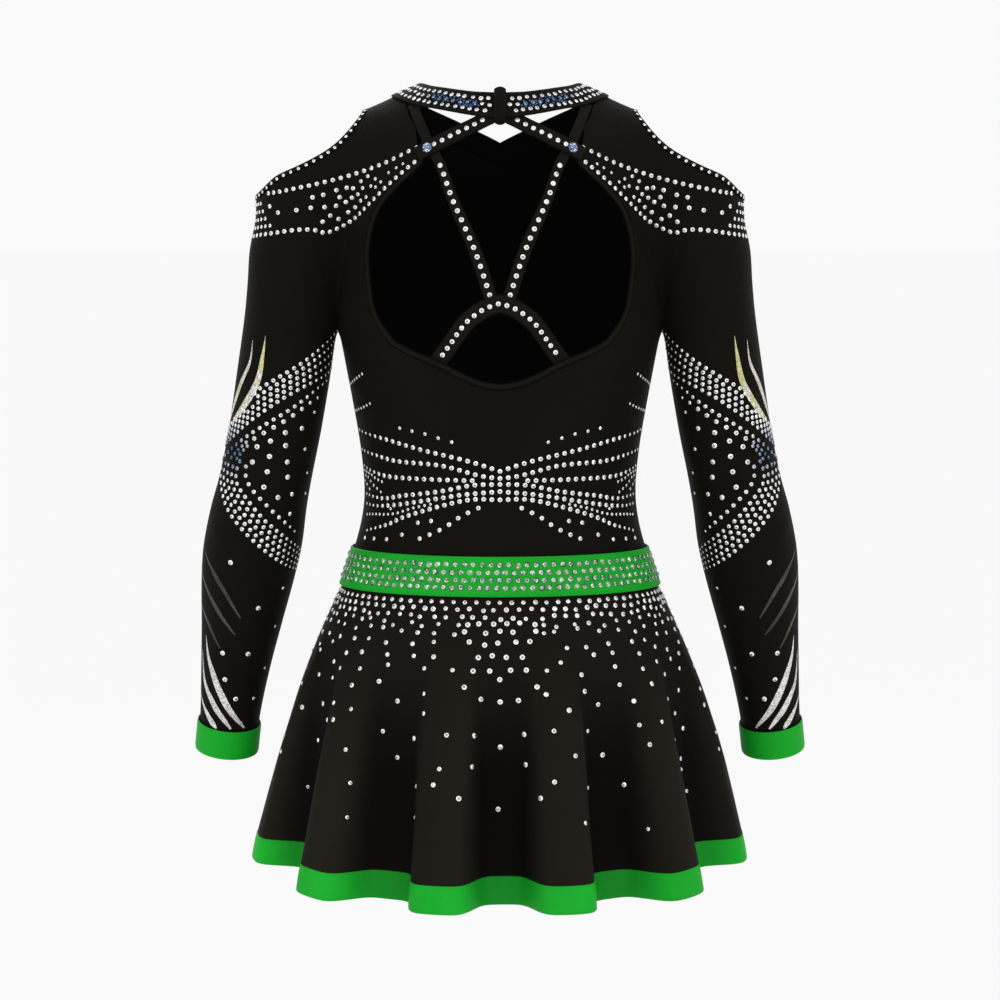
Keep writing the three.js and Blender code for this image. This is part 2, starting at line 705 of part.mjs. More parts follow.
const diagonalLift = (t) => -0.5 + 2.7 * ease(0.25, 0.6, t);
const diagonal = ribbon(
  'diagonal_strap',
  seam(
    [
      v(3, 73.5, -19),
      v(12.3, 74, -23.4),
      v(27.9, 75.2, -31.5),
      v(43.6, 74.5, -40.1),
      v(58.5, 71.6, -47.4),
      v(67, 69, -53),
    ],
    10,
  ),
  () => 6.5,
  (t) => [diagonalLift(t), STRAP + diagonalLift(t)],
  5.6,
);
const cross = ribbon(
  'cross_strap',
  seam(
    [
      v(74.5, 40, -8.5),
      v(71.9, 44.2, -12.6),
      v(60.1, 68.1, -40),
      v(48.3, 79.3, -62),
      v(38.5, 87.7, -89),
      v(20.5, 95.5, -130),
      v(6.5, 97, -172),
    ],
    16,
  ),
  (t) => 4.2 + 1.3 * ease(0.3, 0.9, t),
  even(0, STRAP),
  0.2,
);

const archHalf = seam(
  [
    v(56, 83.5, -228),
    v(44.5, 88.7, -212),
    v(38.4, 90.9, -203.6),
    v(32.5, 92.7, -195.3),
    v(25.5, 94.4, -187),
    v(13.1, 96, -177.9),
    v(0, 96.7, -172.9),
  ],
  11,
);
const archTuck = (t) => ease(0.12, 0.3, Math.min(t, 1 - t));
const archSink = (t) => -2.5 + 4.3 * archTuck(t);
const arch = ribbon('arch_strap', bothSides(archHalf), () => 7.4, (t) => [archSink(t), archSink(t) + STRAP]);
wall(arch[0], BLACK, arch[1], arch[2]);

// ---- keeper: a loop of cloth round the neckband at the centre back --------------------------------------
const KEEPER = { half: 5, wall: 1.2, clear: 0.7, inner: 0 };
const bandMiddle = neckGrid[1][0];
const keeperTop = bandUpper[0];
const keeperFoot = bandLower[0];
const outerLeg = SLIM_LAP + SLIM_BAND + KEEPER.clear;
const halfOut = (KEEPER.inner + outerLeg) / 2;
// Corners of the loop's section: from a point of the band, out from the figure and up the band.
const KEEPER_SECTION = [
  [keeperTop, KEEPER.inner, KEEPER.clear],
  [keeperTop, halfOut, KEEPER.clear + 0.4],
  [keeperTop, outerLeg, KEEPER.clear],
  [bandMiddle, outerLeg + 0.3, 0],
  [keeperFoot, outerLeg, -KEEPER.clear],
  [keeperFoot, halfOut, -KEEPER.clear - 0.4],
  [keeperFoot, KEEPER.inner, -KEEPER.clear],
  [bandMiddle, KEEPER.inner, 0],
];
const bandUp = keeperTop.clone().sub(keeperFoot).normalize();
const keeperGrid = [-KEEPER.half, KEEPER.half].map((x) =>
  KEEPER_SECTION.map(([from, out, up]) =>
    from.clone().addScaledVector(outward(from), out).addScaledVector(bandUp, up).setX(x),
  ),
);
const keeperMiddle = bandMiddle.clone().addScaledVector(outward(bandMiddle), halfOut);
const keeperUp = (p, r, c) => {
  const n = KEEPER_SECTION.length;
  const next = keeperGrid[r][(c + 1) % n];
  const before = keeperGrid[r][(c + n - 1) % n];
  const normal = next.clone().sub(before).cross(v(1, 0, 0)).normalize();
  return normal.dot(p.clone().sub(keeperMiddle)) < 0 ? normal.negate() : normal;
};
wall('neck_keeper', BLACK, keeperGrid, even(0, KEEPER.wall), true, keeperUp);

// ---- pieces that come in pairs -------------------------------------------------------------------------
const GEM = { r: 4.3, tall: 3, sides: 12, at: v(58.5, 71.6, -47.4), lift: STRAP + 2.1 + 0.3 };

function gem(name, at) {
  const out = outward(at);
  const right = v(0, 0, 1).cross(out).normalize();
  const up = out.clone().cross(right);
  const base = at.clone().addScaledVector(out, GEM.lift);
  const corners = [base.clone(), base.clone().addScaledVector(out, GEM.tall)];
  const rings = [[GEM.r, 0], [GEM.r, GEM.tall * 0.35], [GEM.r * 0.55, GEM.tall]];
  for (const [r, h] of rings) {
    for (let i = 0; i < GEM.sides; i += 1) {
      const a = (2 * Math.PI * i) / GEM.sides;
      const p = base.clone().addScaledVector(out, h).addScaledVector(right, r * Math.cos(a));
      corners.push(p.addScaledVector(up, r * Math.sin(a)));
    }
  }
  const faces = [];
  for (let i = 0; i < GEM.sides; i += 1) {
    const j = (i + 1) % GEM.sides;
    const [a, b, c] = [2, 2 + GEM.sides, 2 + 2 * GEM.sides];
    faces.push([0, a + j, a + i], [1, c + i, c + j]);
    faces.push([a + i, a + j, b + j], [a + i, b + j, b + i]);
    faces.push([b + i, b + j, c + j], [b + i, c + j, c + i]);
  }
  return addPiece(name, STONE, corners, faces);
}

for (const [side, place] of [['left', (p) => p], ['right', mirror]]) {
  const flipped = (grid) => grid.map((row) => row.map(place));
  wall(`sleeve_${side}`, BLACK, flipped(sleeveGrid), even(0, CLOTH), true);
  wall(`cuff_${side}`, GREEN, flipped(cuffGrid), cuffLift, true);
  wall(`shoulder_binding_${side}`, BLACK, flipped([cutEdge, cutBound]), BINDING_LIFT, true);
  for (const [name, grid, lift] of [diagonal, cross]) wall(`${name}_${side}`, BLACK, flipped(grid), lift);
  gem(`gem_${side}`, place(settle(GEM.at)));
}

export default group;
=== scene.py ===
"""Dressed model of a long-sleeved cheerleading uniform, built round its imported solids.

All shapes are worked out in millimetres in the part's own frame (+Z up, origin at the centre of
the neck opening, the front faces -Y, the wearer's left is +X) and written into meshes in metres.
Cloth pieces are thin shells on a smooth figure; stones and stitches are small shapes set on them.
"""

from __future__ import annotations
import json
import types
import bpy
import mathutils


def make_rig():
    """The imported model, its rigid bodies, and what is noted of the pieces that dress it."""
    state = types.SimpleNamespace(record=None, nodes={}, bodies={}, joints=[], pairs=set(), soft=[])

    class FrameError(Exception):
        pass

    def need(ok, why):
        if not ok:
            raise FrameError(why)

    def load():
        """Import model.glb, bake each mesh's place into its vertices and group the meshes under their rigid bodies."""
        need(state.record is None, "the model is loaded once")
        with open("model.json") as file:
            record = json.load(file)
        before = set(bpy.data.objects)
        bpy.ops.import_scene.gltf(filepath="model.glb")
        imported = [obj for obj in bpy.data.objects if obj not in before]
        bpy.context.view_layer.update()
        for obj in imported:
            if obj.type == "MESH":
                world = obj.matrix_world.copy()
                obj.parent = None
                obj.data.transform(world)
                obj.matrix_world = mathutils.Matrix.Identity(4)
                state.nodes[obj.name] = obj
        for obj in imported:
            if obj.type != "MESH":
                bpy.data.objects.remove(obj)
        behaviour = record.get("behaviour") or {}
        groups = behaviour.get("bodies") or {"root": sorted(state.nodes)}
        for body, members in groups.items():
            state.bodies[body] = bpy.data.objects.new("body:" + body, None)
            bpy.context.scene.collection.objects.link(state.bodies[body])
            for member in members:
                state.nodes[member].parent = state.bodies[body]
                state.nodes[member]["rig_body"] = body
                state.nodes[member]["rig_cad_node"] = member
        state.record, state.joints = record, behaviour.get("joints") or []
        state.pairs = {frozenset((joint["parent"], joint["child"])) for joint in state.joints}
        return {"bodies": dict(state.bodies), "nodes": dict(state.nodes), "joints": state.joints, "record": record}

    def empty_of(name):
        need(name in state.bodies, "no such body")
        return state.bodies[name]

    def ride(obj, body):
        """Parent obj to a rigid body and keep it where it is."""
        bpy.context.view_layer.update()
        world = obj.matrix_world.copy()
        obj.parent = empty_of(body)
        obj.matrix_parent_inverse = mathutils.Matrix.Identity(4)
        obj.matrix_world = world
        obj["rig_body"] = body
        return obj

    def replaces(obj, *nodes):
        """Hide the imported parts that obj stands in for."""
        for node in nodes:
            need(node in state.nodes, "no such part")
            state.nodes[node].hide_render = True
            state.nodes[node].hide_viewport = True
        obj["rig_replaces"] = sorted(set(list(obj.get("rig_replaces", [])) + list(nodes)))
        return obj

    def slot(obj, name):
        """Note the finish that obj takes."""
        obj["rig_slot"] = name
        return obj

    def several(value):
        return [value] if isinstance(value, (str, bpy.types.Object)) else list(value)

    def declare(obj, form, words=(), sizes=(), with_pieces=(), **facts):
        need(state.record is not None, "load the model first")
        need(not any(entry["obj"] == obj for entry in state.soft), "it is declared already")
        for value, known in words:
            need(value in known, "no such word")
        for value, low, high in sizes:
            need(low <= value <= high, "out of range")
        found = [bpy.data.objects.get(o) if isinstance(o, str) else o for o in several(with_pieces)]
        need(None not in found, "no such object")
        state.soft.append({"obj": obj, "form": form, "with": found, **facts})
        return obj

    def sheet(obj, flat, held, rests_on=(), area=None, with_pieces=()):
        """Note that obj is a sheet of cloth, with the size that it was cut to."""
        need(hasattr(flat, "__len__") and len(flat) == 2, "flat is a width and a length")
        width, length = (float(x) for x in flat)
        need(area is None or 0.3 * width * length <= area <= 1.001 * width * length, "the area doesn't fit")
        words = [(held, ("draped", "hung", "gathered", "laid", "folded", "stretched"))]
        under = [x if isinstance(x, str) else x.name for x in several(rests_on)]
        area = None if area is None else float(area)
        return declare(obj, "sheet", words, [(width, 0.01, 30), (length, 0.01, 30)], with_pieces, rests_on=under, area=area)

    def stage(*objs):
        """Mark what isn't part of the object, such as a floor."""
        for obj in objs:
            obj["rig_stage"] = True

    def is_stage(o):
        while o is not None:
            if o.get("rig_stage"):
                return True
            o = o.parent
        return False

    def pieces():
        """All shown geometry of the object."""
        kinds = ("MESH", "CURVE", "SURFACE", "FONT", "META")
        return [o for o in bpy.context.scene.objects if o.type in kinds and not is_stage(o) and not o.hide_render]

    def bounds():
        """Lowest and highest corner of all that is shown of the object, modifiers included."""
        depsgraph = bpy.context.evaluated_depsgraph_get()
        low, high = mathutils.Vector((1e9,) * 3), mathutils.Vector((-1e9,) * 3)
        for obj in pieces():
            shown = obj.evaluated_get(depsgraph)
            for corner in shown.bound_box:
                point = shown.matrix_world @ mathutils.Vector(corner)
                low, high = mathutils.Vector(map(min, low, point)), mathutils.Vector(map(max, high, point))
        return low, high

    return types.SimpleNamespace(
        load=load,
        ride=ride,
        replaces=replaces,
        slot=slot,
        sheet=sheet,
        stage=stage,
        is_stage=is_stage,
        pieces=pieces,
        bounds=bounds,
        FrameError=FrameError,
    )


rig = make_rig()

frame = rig.load()
CAD_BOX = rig.bounds()

import json
import logging
from dataclasses import dataclass, field, replace
from enum import Enum
from typing import Callable

import bpy
import numpy as np
from mathutils import Vector

log = logging.getLogger("uniform")
Array = np.ndarray
Piece = bpy.types.Object
Node = bpy.types.Node
MM = 0.001

# ---- sizes shared by the pieces, in millimetres ----
SKIN = 0.05  # how far cloth stands off the figure
CLOTH = 1.2  # outside of the black stretch cloth
STRAP = 1.5  # wall of a strap
BAND = 2.0  # wall of the waistband and the hem band
LAP = 2.1  # how far the waistband stands off the figure, over the cloth
SLIM_BAND = 1.5  # wall of the neckband and the cuffs
SLIM_LAP = 1.9  # how far those stand off the figure
BAND_PROUD = 0.4  # how far the hem band stands out past the skirt
HEM_Z = -667.0
HEM_TALL = 22.5
WAIST_TOP = -389.0
WAIST_TALL = 33.0
WAIST_RISE = 4.5  # how much higher the waistband stands at the back
WAIST_LAP = 3.5  # how far the bodice runs down under the waistband
SKIRT_TUCK = 1.5  # how much further than that the skirt runs up under it
CUFF_Z = -569.5
CUFF_TALL = 25.0
CUT_BINDING = 4.0
KEYHOLE_BINDING = 5.0
BUTT = 0.6  # from a binding to the cloth's edge behind it
STITCH_IN = 1.8  # from a cuff's or the hem band's upper edge to its stitches
FREE_ARM_Z = -240.0  # below this the sleeve is even rings
QUARTER = np.pi / 2
FINE = 4  # columns of a shell for each column of its solid

# Painted light and shade, a scale on the cloth's colour: 1 on the lit crests of the skirt's folds, less where cloth
# turns away from the light, in recesses and on insides; each piece's value also sets its tone.
BODY_SHADE = 0.38
STRAP_SHADE = 0.62
YOKE_SHADE = 0.65
CUFF_SHADE = 0.92
WAIST_SHADE = 0.88
RECESS_SHADE = 0.16
INSIDE_SHADE = 0.12


# ---- small helpers ----
def ease(a: float, b: float, x: Array | float) -> Array | float:
    """Smooth step: 3t^2 - 2t^3 of the share t of x between a and b, held to 0..1."""
    t = np.clip((np.asarray(x, float) - a) / (b - a), 0.0, 1.0)
    return t * t * (3 - 2 * t)


def unit(vectors: Array) -> Array:
    """Vectors divided by their lengths."""
    return vectors / np.maximum(np.linalg.norm(vectors, axis=-1, keepdims=True), 1e-12)


def mirrored(points: Array) -> Array:
    """The same points on the other side of the middle plane."""
    return points * np.array([-1.0, 1.0, 1.0])


def as_is(points: Array) -> Array:
    """The same points, for what lies on the +X side."""
    return points


Place = Callable[[Array], Array]
SIDES: dict[str, Place] = {"left": as_is, "right": mirrored}


def spokes(side: Array, other: Array, turns: Array) -> Array:
    """A ring of ways at the angles `turns`: cosine times one way plus sine times the other."""
    return np.cos(turns)[:, None] * side[..., None, :] + np.sin(turns)[:, None] * other[..., None, :]


def round_turns(count: int) -> Array:
    """Even angles once round, from 0."""
    return 2 * np.pi * np.arange(count) / count


def hermite(a: Array, b: Array, leave: Array, arrive: Array, s: Array) -> Array:
    """The cubic from a to b at shares s whose slopes are `leave` at a and `arrive` at b."""
    first = 2 * s**3 - 3 * s**2 + 1
    return first * a + (1 - first) * b + (s**3 - 2 * s**2 + s) * leave + (s**3 - s**2) * arrive


@dataclass(frozen=True)
class Table:
    """Columns of values against a rising first column, read with a smooth cubic."""

    rows: tuple[tuple[float, ...], ...]

    def read(self, at: Array | float) -> Array:
        """Cubic Hermite reading; each row's slope is that of the chord between its neighbours.

        Args:
            at: values of the first column.

        Returns:
            The other columns, as a last axis.
        """
        data = np.array(self.rows, float)
        key, val = data[:, 0], data[:, 1:]
        last = len(key) - 1
        low = np.maximum(np.arange(last + 1) - 1, 0)
        high = np.minimum(np.arange(last + 1) + 1, last)
        slope = (val[high] - val[low]) / (key[high] - key[low])[:, None]
        x = np.clip(np.asarray(at, float), key[0], key[-1])
        i = np.clip(np.searchsorted(key, x) - 1, 0, last - 1)
        h = key[i + 1] - key[i]
        s = ((x - key[i]) / h)[..., None]
        h = h[..., None]
        return hermite(val[i], val[i + 1], h * slope[i], h * slope[i + 1], s)


def smooth_min(a: Array, b: Array, width: float | Array) -> Array:
    """The lesser of two distances, rounded where they are within width of each other."""
    h = np.maximum(width - np.abs(a - b), 0) / width
    return np.minimum(a, b) - h * h * width / 4


@dataclass(frozen=True)
class Figure:
    """The wearer's general form that the cloth lies on, both sides alike."""

    torso: Table = Table((  # height, half width, depth behind, depth in front
        (-460, 151, 106, 100), (-432, 139.5, 98, 94), (-416, 133.6, 94, 92), (-390, 125, 88, 89),
        (-364, 118, 83.5, 87), (-338, 115.2, 82, 87), (-299, 118.5, 84, 90), (-260, 125, 88, 95),
        (-222, 132, 93, 101), (-187, 138, 96, 105), (-155, 137, 97, 104), (-120, 134, 96, 100),
        (-90, 130, 92, 94), (-60, 121, 86, 86), (-40, 111, 81, 79), (-20, 96, 73, 68),
        (-10, 85, 66, 60), (-3, 76.5, 60.5, 54), (4, 66.5, 51, 45), (14, 48.5, 37.5, 33),
        (26, 20, 16, 14),
    ))
    arm: Table = Table((  # height, centre x, centre y, half width, half depth
        (-600, 244, -40, 24, 24.6), (-560, 239.2, -32, 24.4, 25), (-534, 235.9, -27, 25.3, 26),
        (-495, 230.4, -19, 28.9, 29.5), (-455, 224, -11, 33.6, 33.5), (-416, 217.8, -3, 38.6, 38),
        (-385, 212.6, 4, 41, 40.5), (-351, 206.6, 8, 39.8, 40.5), (-325, 200.5, 9, 38.4, 39.5),
        (-286, 192.4, 9, 38.3, 39.5), (-235, 184.2, 7, 38.8, 40), (-187, 177.6, 5, 38.6, 40),
        (-160, 174, 4, 39.6, 40.5), (-132, 170, 3, 41.6, 42), (-107, 164, 2, 42.4, 43.2),
        (-75, 158, 0, 43.5, 43.5),
    ))
    shoulder_in: tuple[float, float, float] = (75, 2, -47)
    shoulder_out: tuple[float, float, float] = (158, 0, -75)
    radius_in: float = 43
    radius_out: float = 42.5
    radius_arm: float = 43.5
    neck_blend: float = 20
    pit_blend: float = 8
    shoulder_blend: float = 19

    def distance(self, p: Array) -> Array:
        """Rough distance outside the figure: torso, shoulder and arm joined with rounded lows."""
        x, y, z = np.abs(p[..., 0]), p[..., 1], p[..., 2]
        half, back, front = np.moveaxis(self.torso.read(z), -1, 0)
        depth = np.where(y > 0, back, front)
        torso = (np.hypot(x / half, y / depth) - 1) * np.minimum(half, depth)
        q = np.stack([x, y, z], -1)
        inner, outer = np.array(self.shoulder_in, float), np.array(self.shoulder_out, float)
        along = outer - inner
        t = np.clip((q - inner) @ along / (along @ along), 0, 1)
        cap = np.linalg.norm(q - inner - t[..., None] * along, axis=-1)
        cap = cap - (self.radius_in + (self.radius_out - self.radius_in) * t)
        ball = np.linalg.norm(q - outer, axis=-1) - self.radius_arm
        cx, cy, wide, deep = np.moveaxis(self.arm.read(z), -1, 0)
        tube = (np.hypot((x - cx) / wide, (y - cy) / deep) - 1) * np.minimum(wide, deep)
        arm = np.where(z < outer[2], tube, ball)
        width = self.pit_blend + (self.shoulder_blend - self.pit_blend) * ease(-200, -110, z)
        return smooth_min(smooth_min(torso, cap, self.neck_blend), arm, width)

    def slope(self, p: Array) -> Array:
        """The steepest way, by central differences of the distance."""
        probe = 0.05
        steps = np.eye(3) * probe
        return np.stack(
            [(self.distance(p + s) - self.distance(p - s)) / (2 * probe) for s in steps], -1
        )

    def outward(self, p: Array) -> Array:
        """Unit vectors square to the surface."""
        return unit(self.slope(p))

    def settle(self, points: Array) -> Array:
        """Points moved on to the surface along the steepest way, a step of at most 12 mm a turn."""
        p = np.array(points, float)
        turns, close, most = 16, 1e-4, 12
        for _ in range(turns):
            f = self.distance(p)
            if np.abs(f).max() < close:
                break
            g = self.slope(p)
            step = g * (f / np.maximum((g * g).sum(-1), 1e-6))[..., None]
            size = np.linalg.norm(step, axis=-1, keepdims=True)
            p = p - step * np.minimum(1, most / np.maximum(size, 1e-12))
        return p


BODY = Figure()


# ---- lines ----
def smooth_curve(points: Array, count: int) -> Array:
    """Catmull-Rom curve through the points: a cubic between each two, slopes half the chords."""
    p = np.asarray(points, float)
    q = np.vstack([2 * p[0] - p[1], p, 2 * p[-1] - p[-2]])
    t = np.linspace(0, len(p) - 1, count + 1)
    i = np.minimum(t.astype(int), len(p) - 2)
    s = (t - i)[:, None]
    return hermite(q[i + 1], q[i + 2], (q[i + 2] - q[i]) / 2, (q[i + 3] - q[i + 1]) / 2, s)


def lengths_along(line: Array) -> Array:
    """Running length of a line of points, from 0."""
    step = np.linalg.norm(np.diff(line, axis=0), axis=-1)
    return np.concatenate([[0.0], np.cumsum(step)])


def at_lengths(line: Array, want: Array) -> Array:
    """Points of a line at the given running lengths, straight between its own points."""
    run = lengths_along(line)
    return np.stack([np.interp(want, run, line[:, k]) for k in range(3)], -1)


def seam(points: Array, steps: int) -> Array:
    """A smooth line through the points, on the figure, cut into equal steps."""
    fine = BODY.settle(smooth_curve(points, len(points) * 12))
    return BODY.settle(at_lengths(fine, np.linspace(0, lengths_along(fine)[-1], steps + 1)))


def joined(*lines: Array) -> Array:
    """Lines end to end; the point where two meet is kept once."""
    return np.vstack([line if i == 0 else line[1:] for i, line in enumerate(lines)])


def both_sides(line: Array) -> Array:
    """A line that ends on the middle plane, followed back along its mirror image."""
    return np.vstack([line, mirrored(line[:-1][::-1])])


def ring_of(half: Array) -> Array:
    """A closed ring from a half that starts and ends on the middle plane."""
    return np.vstack([half, mirrored(half[1:-1][::-1])])


def stand_back(a: Array, b: Array, distance: Array | float, closed: bool = False) -> Array:
    """Line a moved along the surface, square to itself, toward line b.

    Args:
        a: the line that is moved.
        b: the line that it moves toward.
        distance: how far, one value or one for each point.
        closed: whether line a is a ring.

    Returns:
        The moved line, on the figure.
    """
    if closed:
        tangent = np.roll(a, -1, 0) - np.roll(a, 1, 0)
    else:
        tangent = np.gradient(a, axis=0)
    side = unit(np.cross(tangent, BODY.outward(a)))
    sign = np.where((side * (b - a)).sum(-1, keepdims=True) < 0, -1.0, 1.0)
    far = np.broadcast_to(np.asarray(distance, float), len(a))[:, None]
    return BODY.settle(a + side * sign * far)


def between(a: Array, b: Array, shares: Array) -> Array:
    """Rows of points on the figure at the given shares of the way from line a to line b."""
    s = np.asarray(shares, float)[:, None, None]
    return BODY.settle(a[None] * (1 - s) + b[None] * s)


# ---- meshes ----
def make_object(name: str, corners: Array, faces: list, uv: Array | None = None,
                marks: dict[str, Array] | None = None, shade: Array | None = None,
                smooth: bool = True, crease_angle: float = 50.0) -> Piece:
    """Puts a mesh into the scene, from millimetres to metres.

    Args:
        name: name of the object.
        corners: points in millimetres.
        faces: lists of corner numbers, turned outward.
        uv: a pair for each face corner, in face order, in millimetres along the cloth.
        marks: values for each face, by attribute name.
        shade: painted light and shade at each corner, a scale on the cloth's colour, for cloth.
        smooth: whether faces are shaded smoothly up to crease_angle.
        crease_angle: angle between faces, in degrees, that stays a sharp edge.

    Returns:
        The linked object, at the origin.
    """
    mesh = bpy.data.meshes.new(name)
    mesh.from_pydata((corners * MM).tolist(), [], faces)
    if uv is not None:
        layer = mesh.uv_layers.new(name="cloth")
        layer.data.foreach_set("uv", np.asarray(uv, np.float32).ravel())
    for label, values in (marks or {}).items():
        mark = mesh.attributes.new(label, "FLOAT", "FACE")
        mark.data.foreach_set("value", np.asarray(values, np.float32))
    if shade is not None:
        tone = mesh.attributes.new("shade", "FLOAT", "POINT")
        tone.data.foreach_set("value", np.asarray(shade, np.float32))
    if smooth:
        mesh.polygons.foreach_set("use_smooth", np.ones(len(mesh.polygons), bool))
        mesh.set_sharp_from_angle(angle=np.radians(crease_angle))
    mesh.validate()
    mesh.update()
    made = bpy.data.objects.new(name, mesh)
    bpy.context.scene.collection.objects.link(made)
    return made


def grid_quads(rows: int, cols: int, ring: bool) -> Array:
    """Quads of a grid of rows by cols points; a ring joins the last column to the first."""
    wide = cols if ring else cols - 1
    r, c = np.meshgrid(np.arange(rows - 1), np.arange(wide), indexing="ij")
    d = (c + 1) % cols
    quads = np.stack([r * cols + c, r * cols + d, (r + 1) * cols + d, (r + 1) * cols + c], -1)
    return quads.reshape(-1, 4)


@dataclass
class Shell:
    """A closed wall of cloth on a grid of points, with soft edges.

    The outside is the grid moved out by `high`, the inside the grid moved by `low`; rims close the
    open sides. `relief` lifts both alike.
    """

    name: str
    grid: Array
    out: Array
    low: Array | float
    high: Array | float
    ring: bool = False
    relief: Callable[[Array], Array] | None = None
    shade: Array | float = BODY_SHADE

    def build(self) -> Piece:
        """Corners as grid plus way out times lift; faces as two grids of quads and the rims."""
        rows, cols = self.grid.shape[:2]
        rise = self.relief(self.grid)[..., None] if self.relief else 0.0
        low, high = (np.broadcast_to(v, (rows, cols))[..., None] for v in (self.low, self.high))
        outside = self.grid + self.out * (high + rise)
        inside = self.grid + self.out * (low + rise)
        corners = np.vstack([outside.reshape(-1, 3), inside.reshape(-1, 3)])
        count = rows * cols
        top = grid_quads(rows, cols, self.ring)
        under = grid_quads(rows, cols, self.ring)[:, ::-1] + count
        walls = [self._rim(np.arange(cols), count, self.ring)]
        walls.append(self._rim((rows - 1) * cols + np.arange(cols), count, self.ring)[:, ::-1])
        if not self.ring:
            walls.append(self._rim(np.arange(rows) * cols, count, False)[:, ::-1])
            walls.append(self._rim(np.arange(rows) * cols + cols - 1, count, False))
        faces = np.vstack([top, under, *walls])
        a, b, c, d = (corners[faces[:, k]] for k in range(4))
        volume = (a * (np.cross(b, c) + np.cross(c, d))).sum()
        uv = self._uv(outside, faces)
        if volume < 0:
            faces = faces[:, ::-1]
            uv = uv.reshape(-1, 4, 2)[:, ::-1].reshape(-1, 2)
        tone = np.broadcast_to(self.shade, (rows, cols)).ravel()
        # The inside gets painted shade: its scale times INSIDE_SHADE.
        shade = np.concatenate([tone, tone * INSIDE_SHADE])
        return make_object(self.name, corners, faces.tolist(), uv, shade=shade)

    def _rim(self, edge: Array, count: int, ring: bool) -> Array:
        """Quads from an edge of the outside to the same edge of the inside."""
        a = edge if ring else edge[:-1]
        b = np.roll(edge, -1) if ring else edge[1:]
        return np.stack([a, a + count, b + count, b], -1)

    def _uv(self, outside: Array, faces: Array) -> Array:
        """Lengths along and across the cloth, in mm, for each face corner."""
        rows, cols = outside.shape[:2]
        across = np.linalg.norm(np.diff(outside, axis=1), axis=-1).mean(0)
        down = np.linalg.norm(np.diff(outside, axis=0), axis=-1).mean(1)
        closing = np.linalg.norm(outside[:, 0] - outside[:, -1], axis=-1).mean()
        u = np.concatenate([[0.0], np.cumsum(across)])
        v = np.concatenate([[0.0], np.cumsum(down)])
        index = faces % (rows * cols)
        row, col = index // cols, index % cols
        uu, vv = u[col], v[row]
        if self.ring:
            wraps = (col.max(-1, keepdims=True) - col) > cols // 2
            uu = np.where(wraps, uu + u[-1] + closing, uu)
        return np.stack([uu, vv], -1).reshape(-1, 2)


# ---- what lies on the cloth ----
@dataclass
class Stones:
    """Flat-back stones gathered for one piece: a foot, a rim and a smaller table, all closed.

    Each stone's corners are its place plus its size times the profile's radius along its spokes
    and the profile's height along its way out. `crown` is the range of the crown's painted
    brightness, which stands for its reflections, `rim` the rim's, and `foot` the foot's radius
    as a share of the size.
    """

    name: str
    seed: int
    crown: tuple[float, float] = (0.72, 1.0)
    rim: float = 0.35
    foot: float = 0.5
    table: tuple[float, float] = (0.0, 0.4)
    sides: int = 8
    lean: float = 0.05
    apart: float = 0.52
    sets: list[tuple[Array, Array, Array, Array]] = field(default_factory=list)

    def add(self, places: Array, outs: Array, size: Array | float, tint: Array | float = 0.0) -> None:
        """Adds stones at points already on the cloth.

        Args:
            places: middles of the stones' backs.
            outs: the way out at each.
            size: diameter in mm, one value or one for each.
            tint: how far each is turned toward the finish's washes.
        """
        sizes, tints = (np.broadcast_to(np.asarray(v, float), len(places)) for v in (size, tint))
        self.sets.append((places, outs, sizes, tints))

    def set_on(self, spots: Array, lift: float, size: Array | float, tint: Array | float = 0.0,
               places: tuple[Place, ...] = (as_is,)) -> None:
        """Adds stones at points on the figure, lifted by `lift`, once for each place."""
        out = BODY.outward(spots)
        for place in places:
            self.add(place(spots + out * lift), place(out), size, tint)

    def spaced(self, places: Array, sizes: Array) -> Array:
        """Which stones are kept: none stands closer to an earlier kept one than their radii."""
        near = np.linalg.norm(places[:, None] - places[None], axis=-1)
        touch = near < self.apart * (sizes[:, None] + sizes[None])
        earlier = np.tril(touch, -1)
        keep = np.ones(len(places), bool)
        for i in np.nonzero(earlier.any(1))[0]:
            keep[i] = not (earlier[i] & keep).any()
        return keep

    def build(self) -> Piece:
        """One mesh of all the stones, with `shine` and `tint` for each face."""
        rng = np.random.default_rng(self.seed)
        places, outs, sizes, tints = (np.concatenate(parts) for parts in zip(*self.sets))
        keep = self.spaced(places, sizes)
        places, outs, sizes, tints = places[keep], unit(outs[keep]), sizes[keep], tints[keep]
        count, n = len(places), self.sides
        outs = unit(outs + rng.normal(0, self.lean, (count, 3)))
        side = unit(np.cross(outs, rng.normal(0, 1, (count, 3))))
        flat = spokes(side, np.cross(outs, side), round_turns(n))
        rings = [
            places[:, None] + sizes[:, None, None] * (radius * flat + height * outs[:, None])
            for radius, height in ((self.foot, -0.06), (0.5, 0.10), (0.22, 0.27))
        ]
        corners = np.concatenate(rings, 1)
        shape = grid_quads(len(rings), n, True).tolist()
        shape += [list(range(2 * n, 3 * n)), list(range(n - 1, -1, -1))]
        per = corners.shape[1]
        faces = [[k + per * i for k in face] for i in range(count) for face in shape]
        # `shine` paints each facet lighter or darker for the reflections of the cut; the backs get 0.
        rims, crowns = np.full((count, n), self.rim), rng.uniform(*self.crown, (count, n))
        tables, backs = rng.uniform(*self.table, (count, 1)), np.zeros((count, 1))
        shine = np.concatenate([rims, crowns, tables, backs], 1)
        tint = np.repeat(tints, len(shape)) * rng.uniform(0.5, 1.0, count * len(shape))
        marks = {"shine": shine.ravel(), "tint": tint}
        log.info("%s: %d stones", self.name, count)
        return make_object(self.name, corners.reshape(-1, 3), faces, marks=marks, smooth=False)


def even_spots(line: Array, pitch: float, start: float = 0.0, loop: bool = False) -> Array:
    """Points along a line at a nearly equal pitch, from its start to its end."""
    path = np.vstack([line, line[:1]]) if loop else line
    total = lengths_along(path)[-1]
    count = max(int(round((total - start) / pitch)), 1)
    want = start + np.arange(count + (0 if loop else 1)) * (total - start) / count
    return at_lengths(path, want)


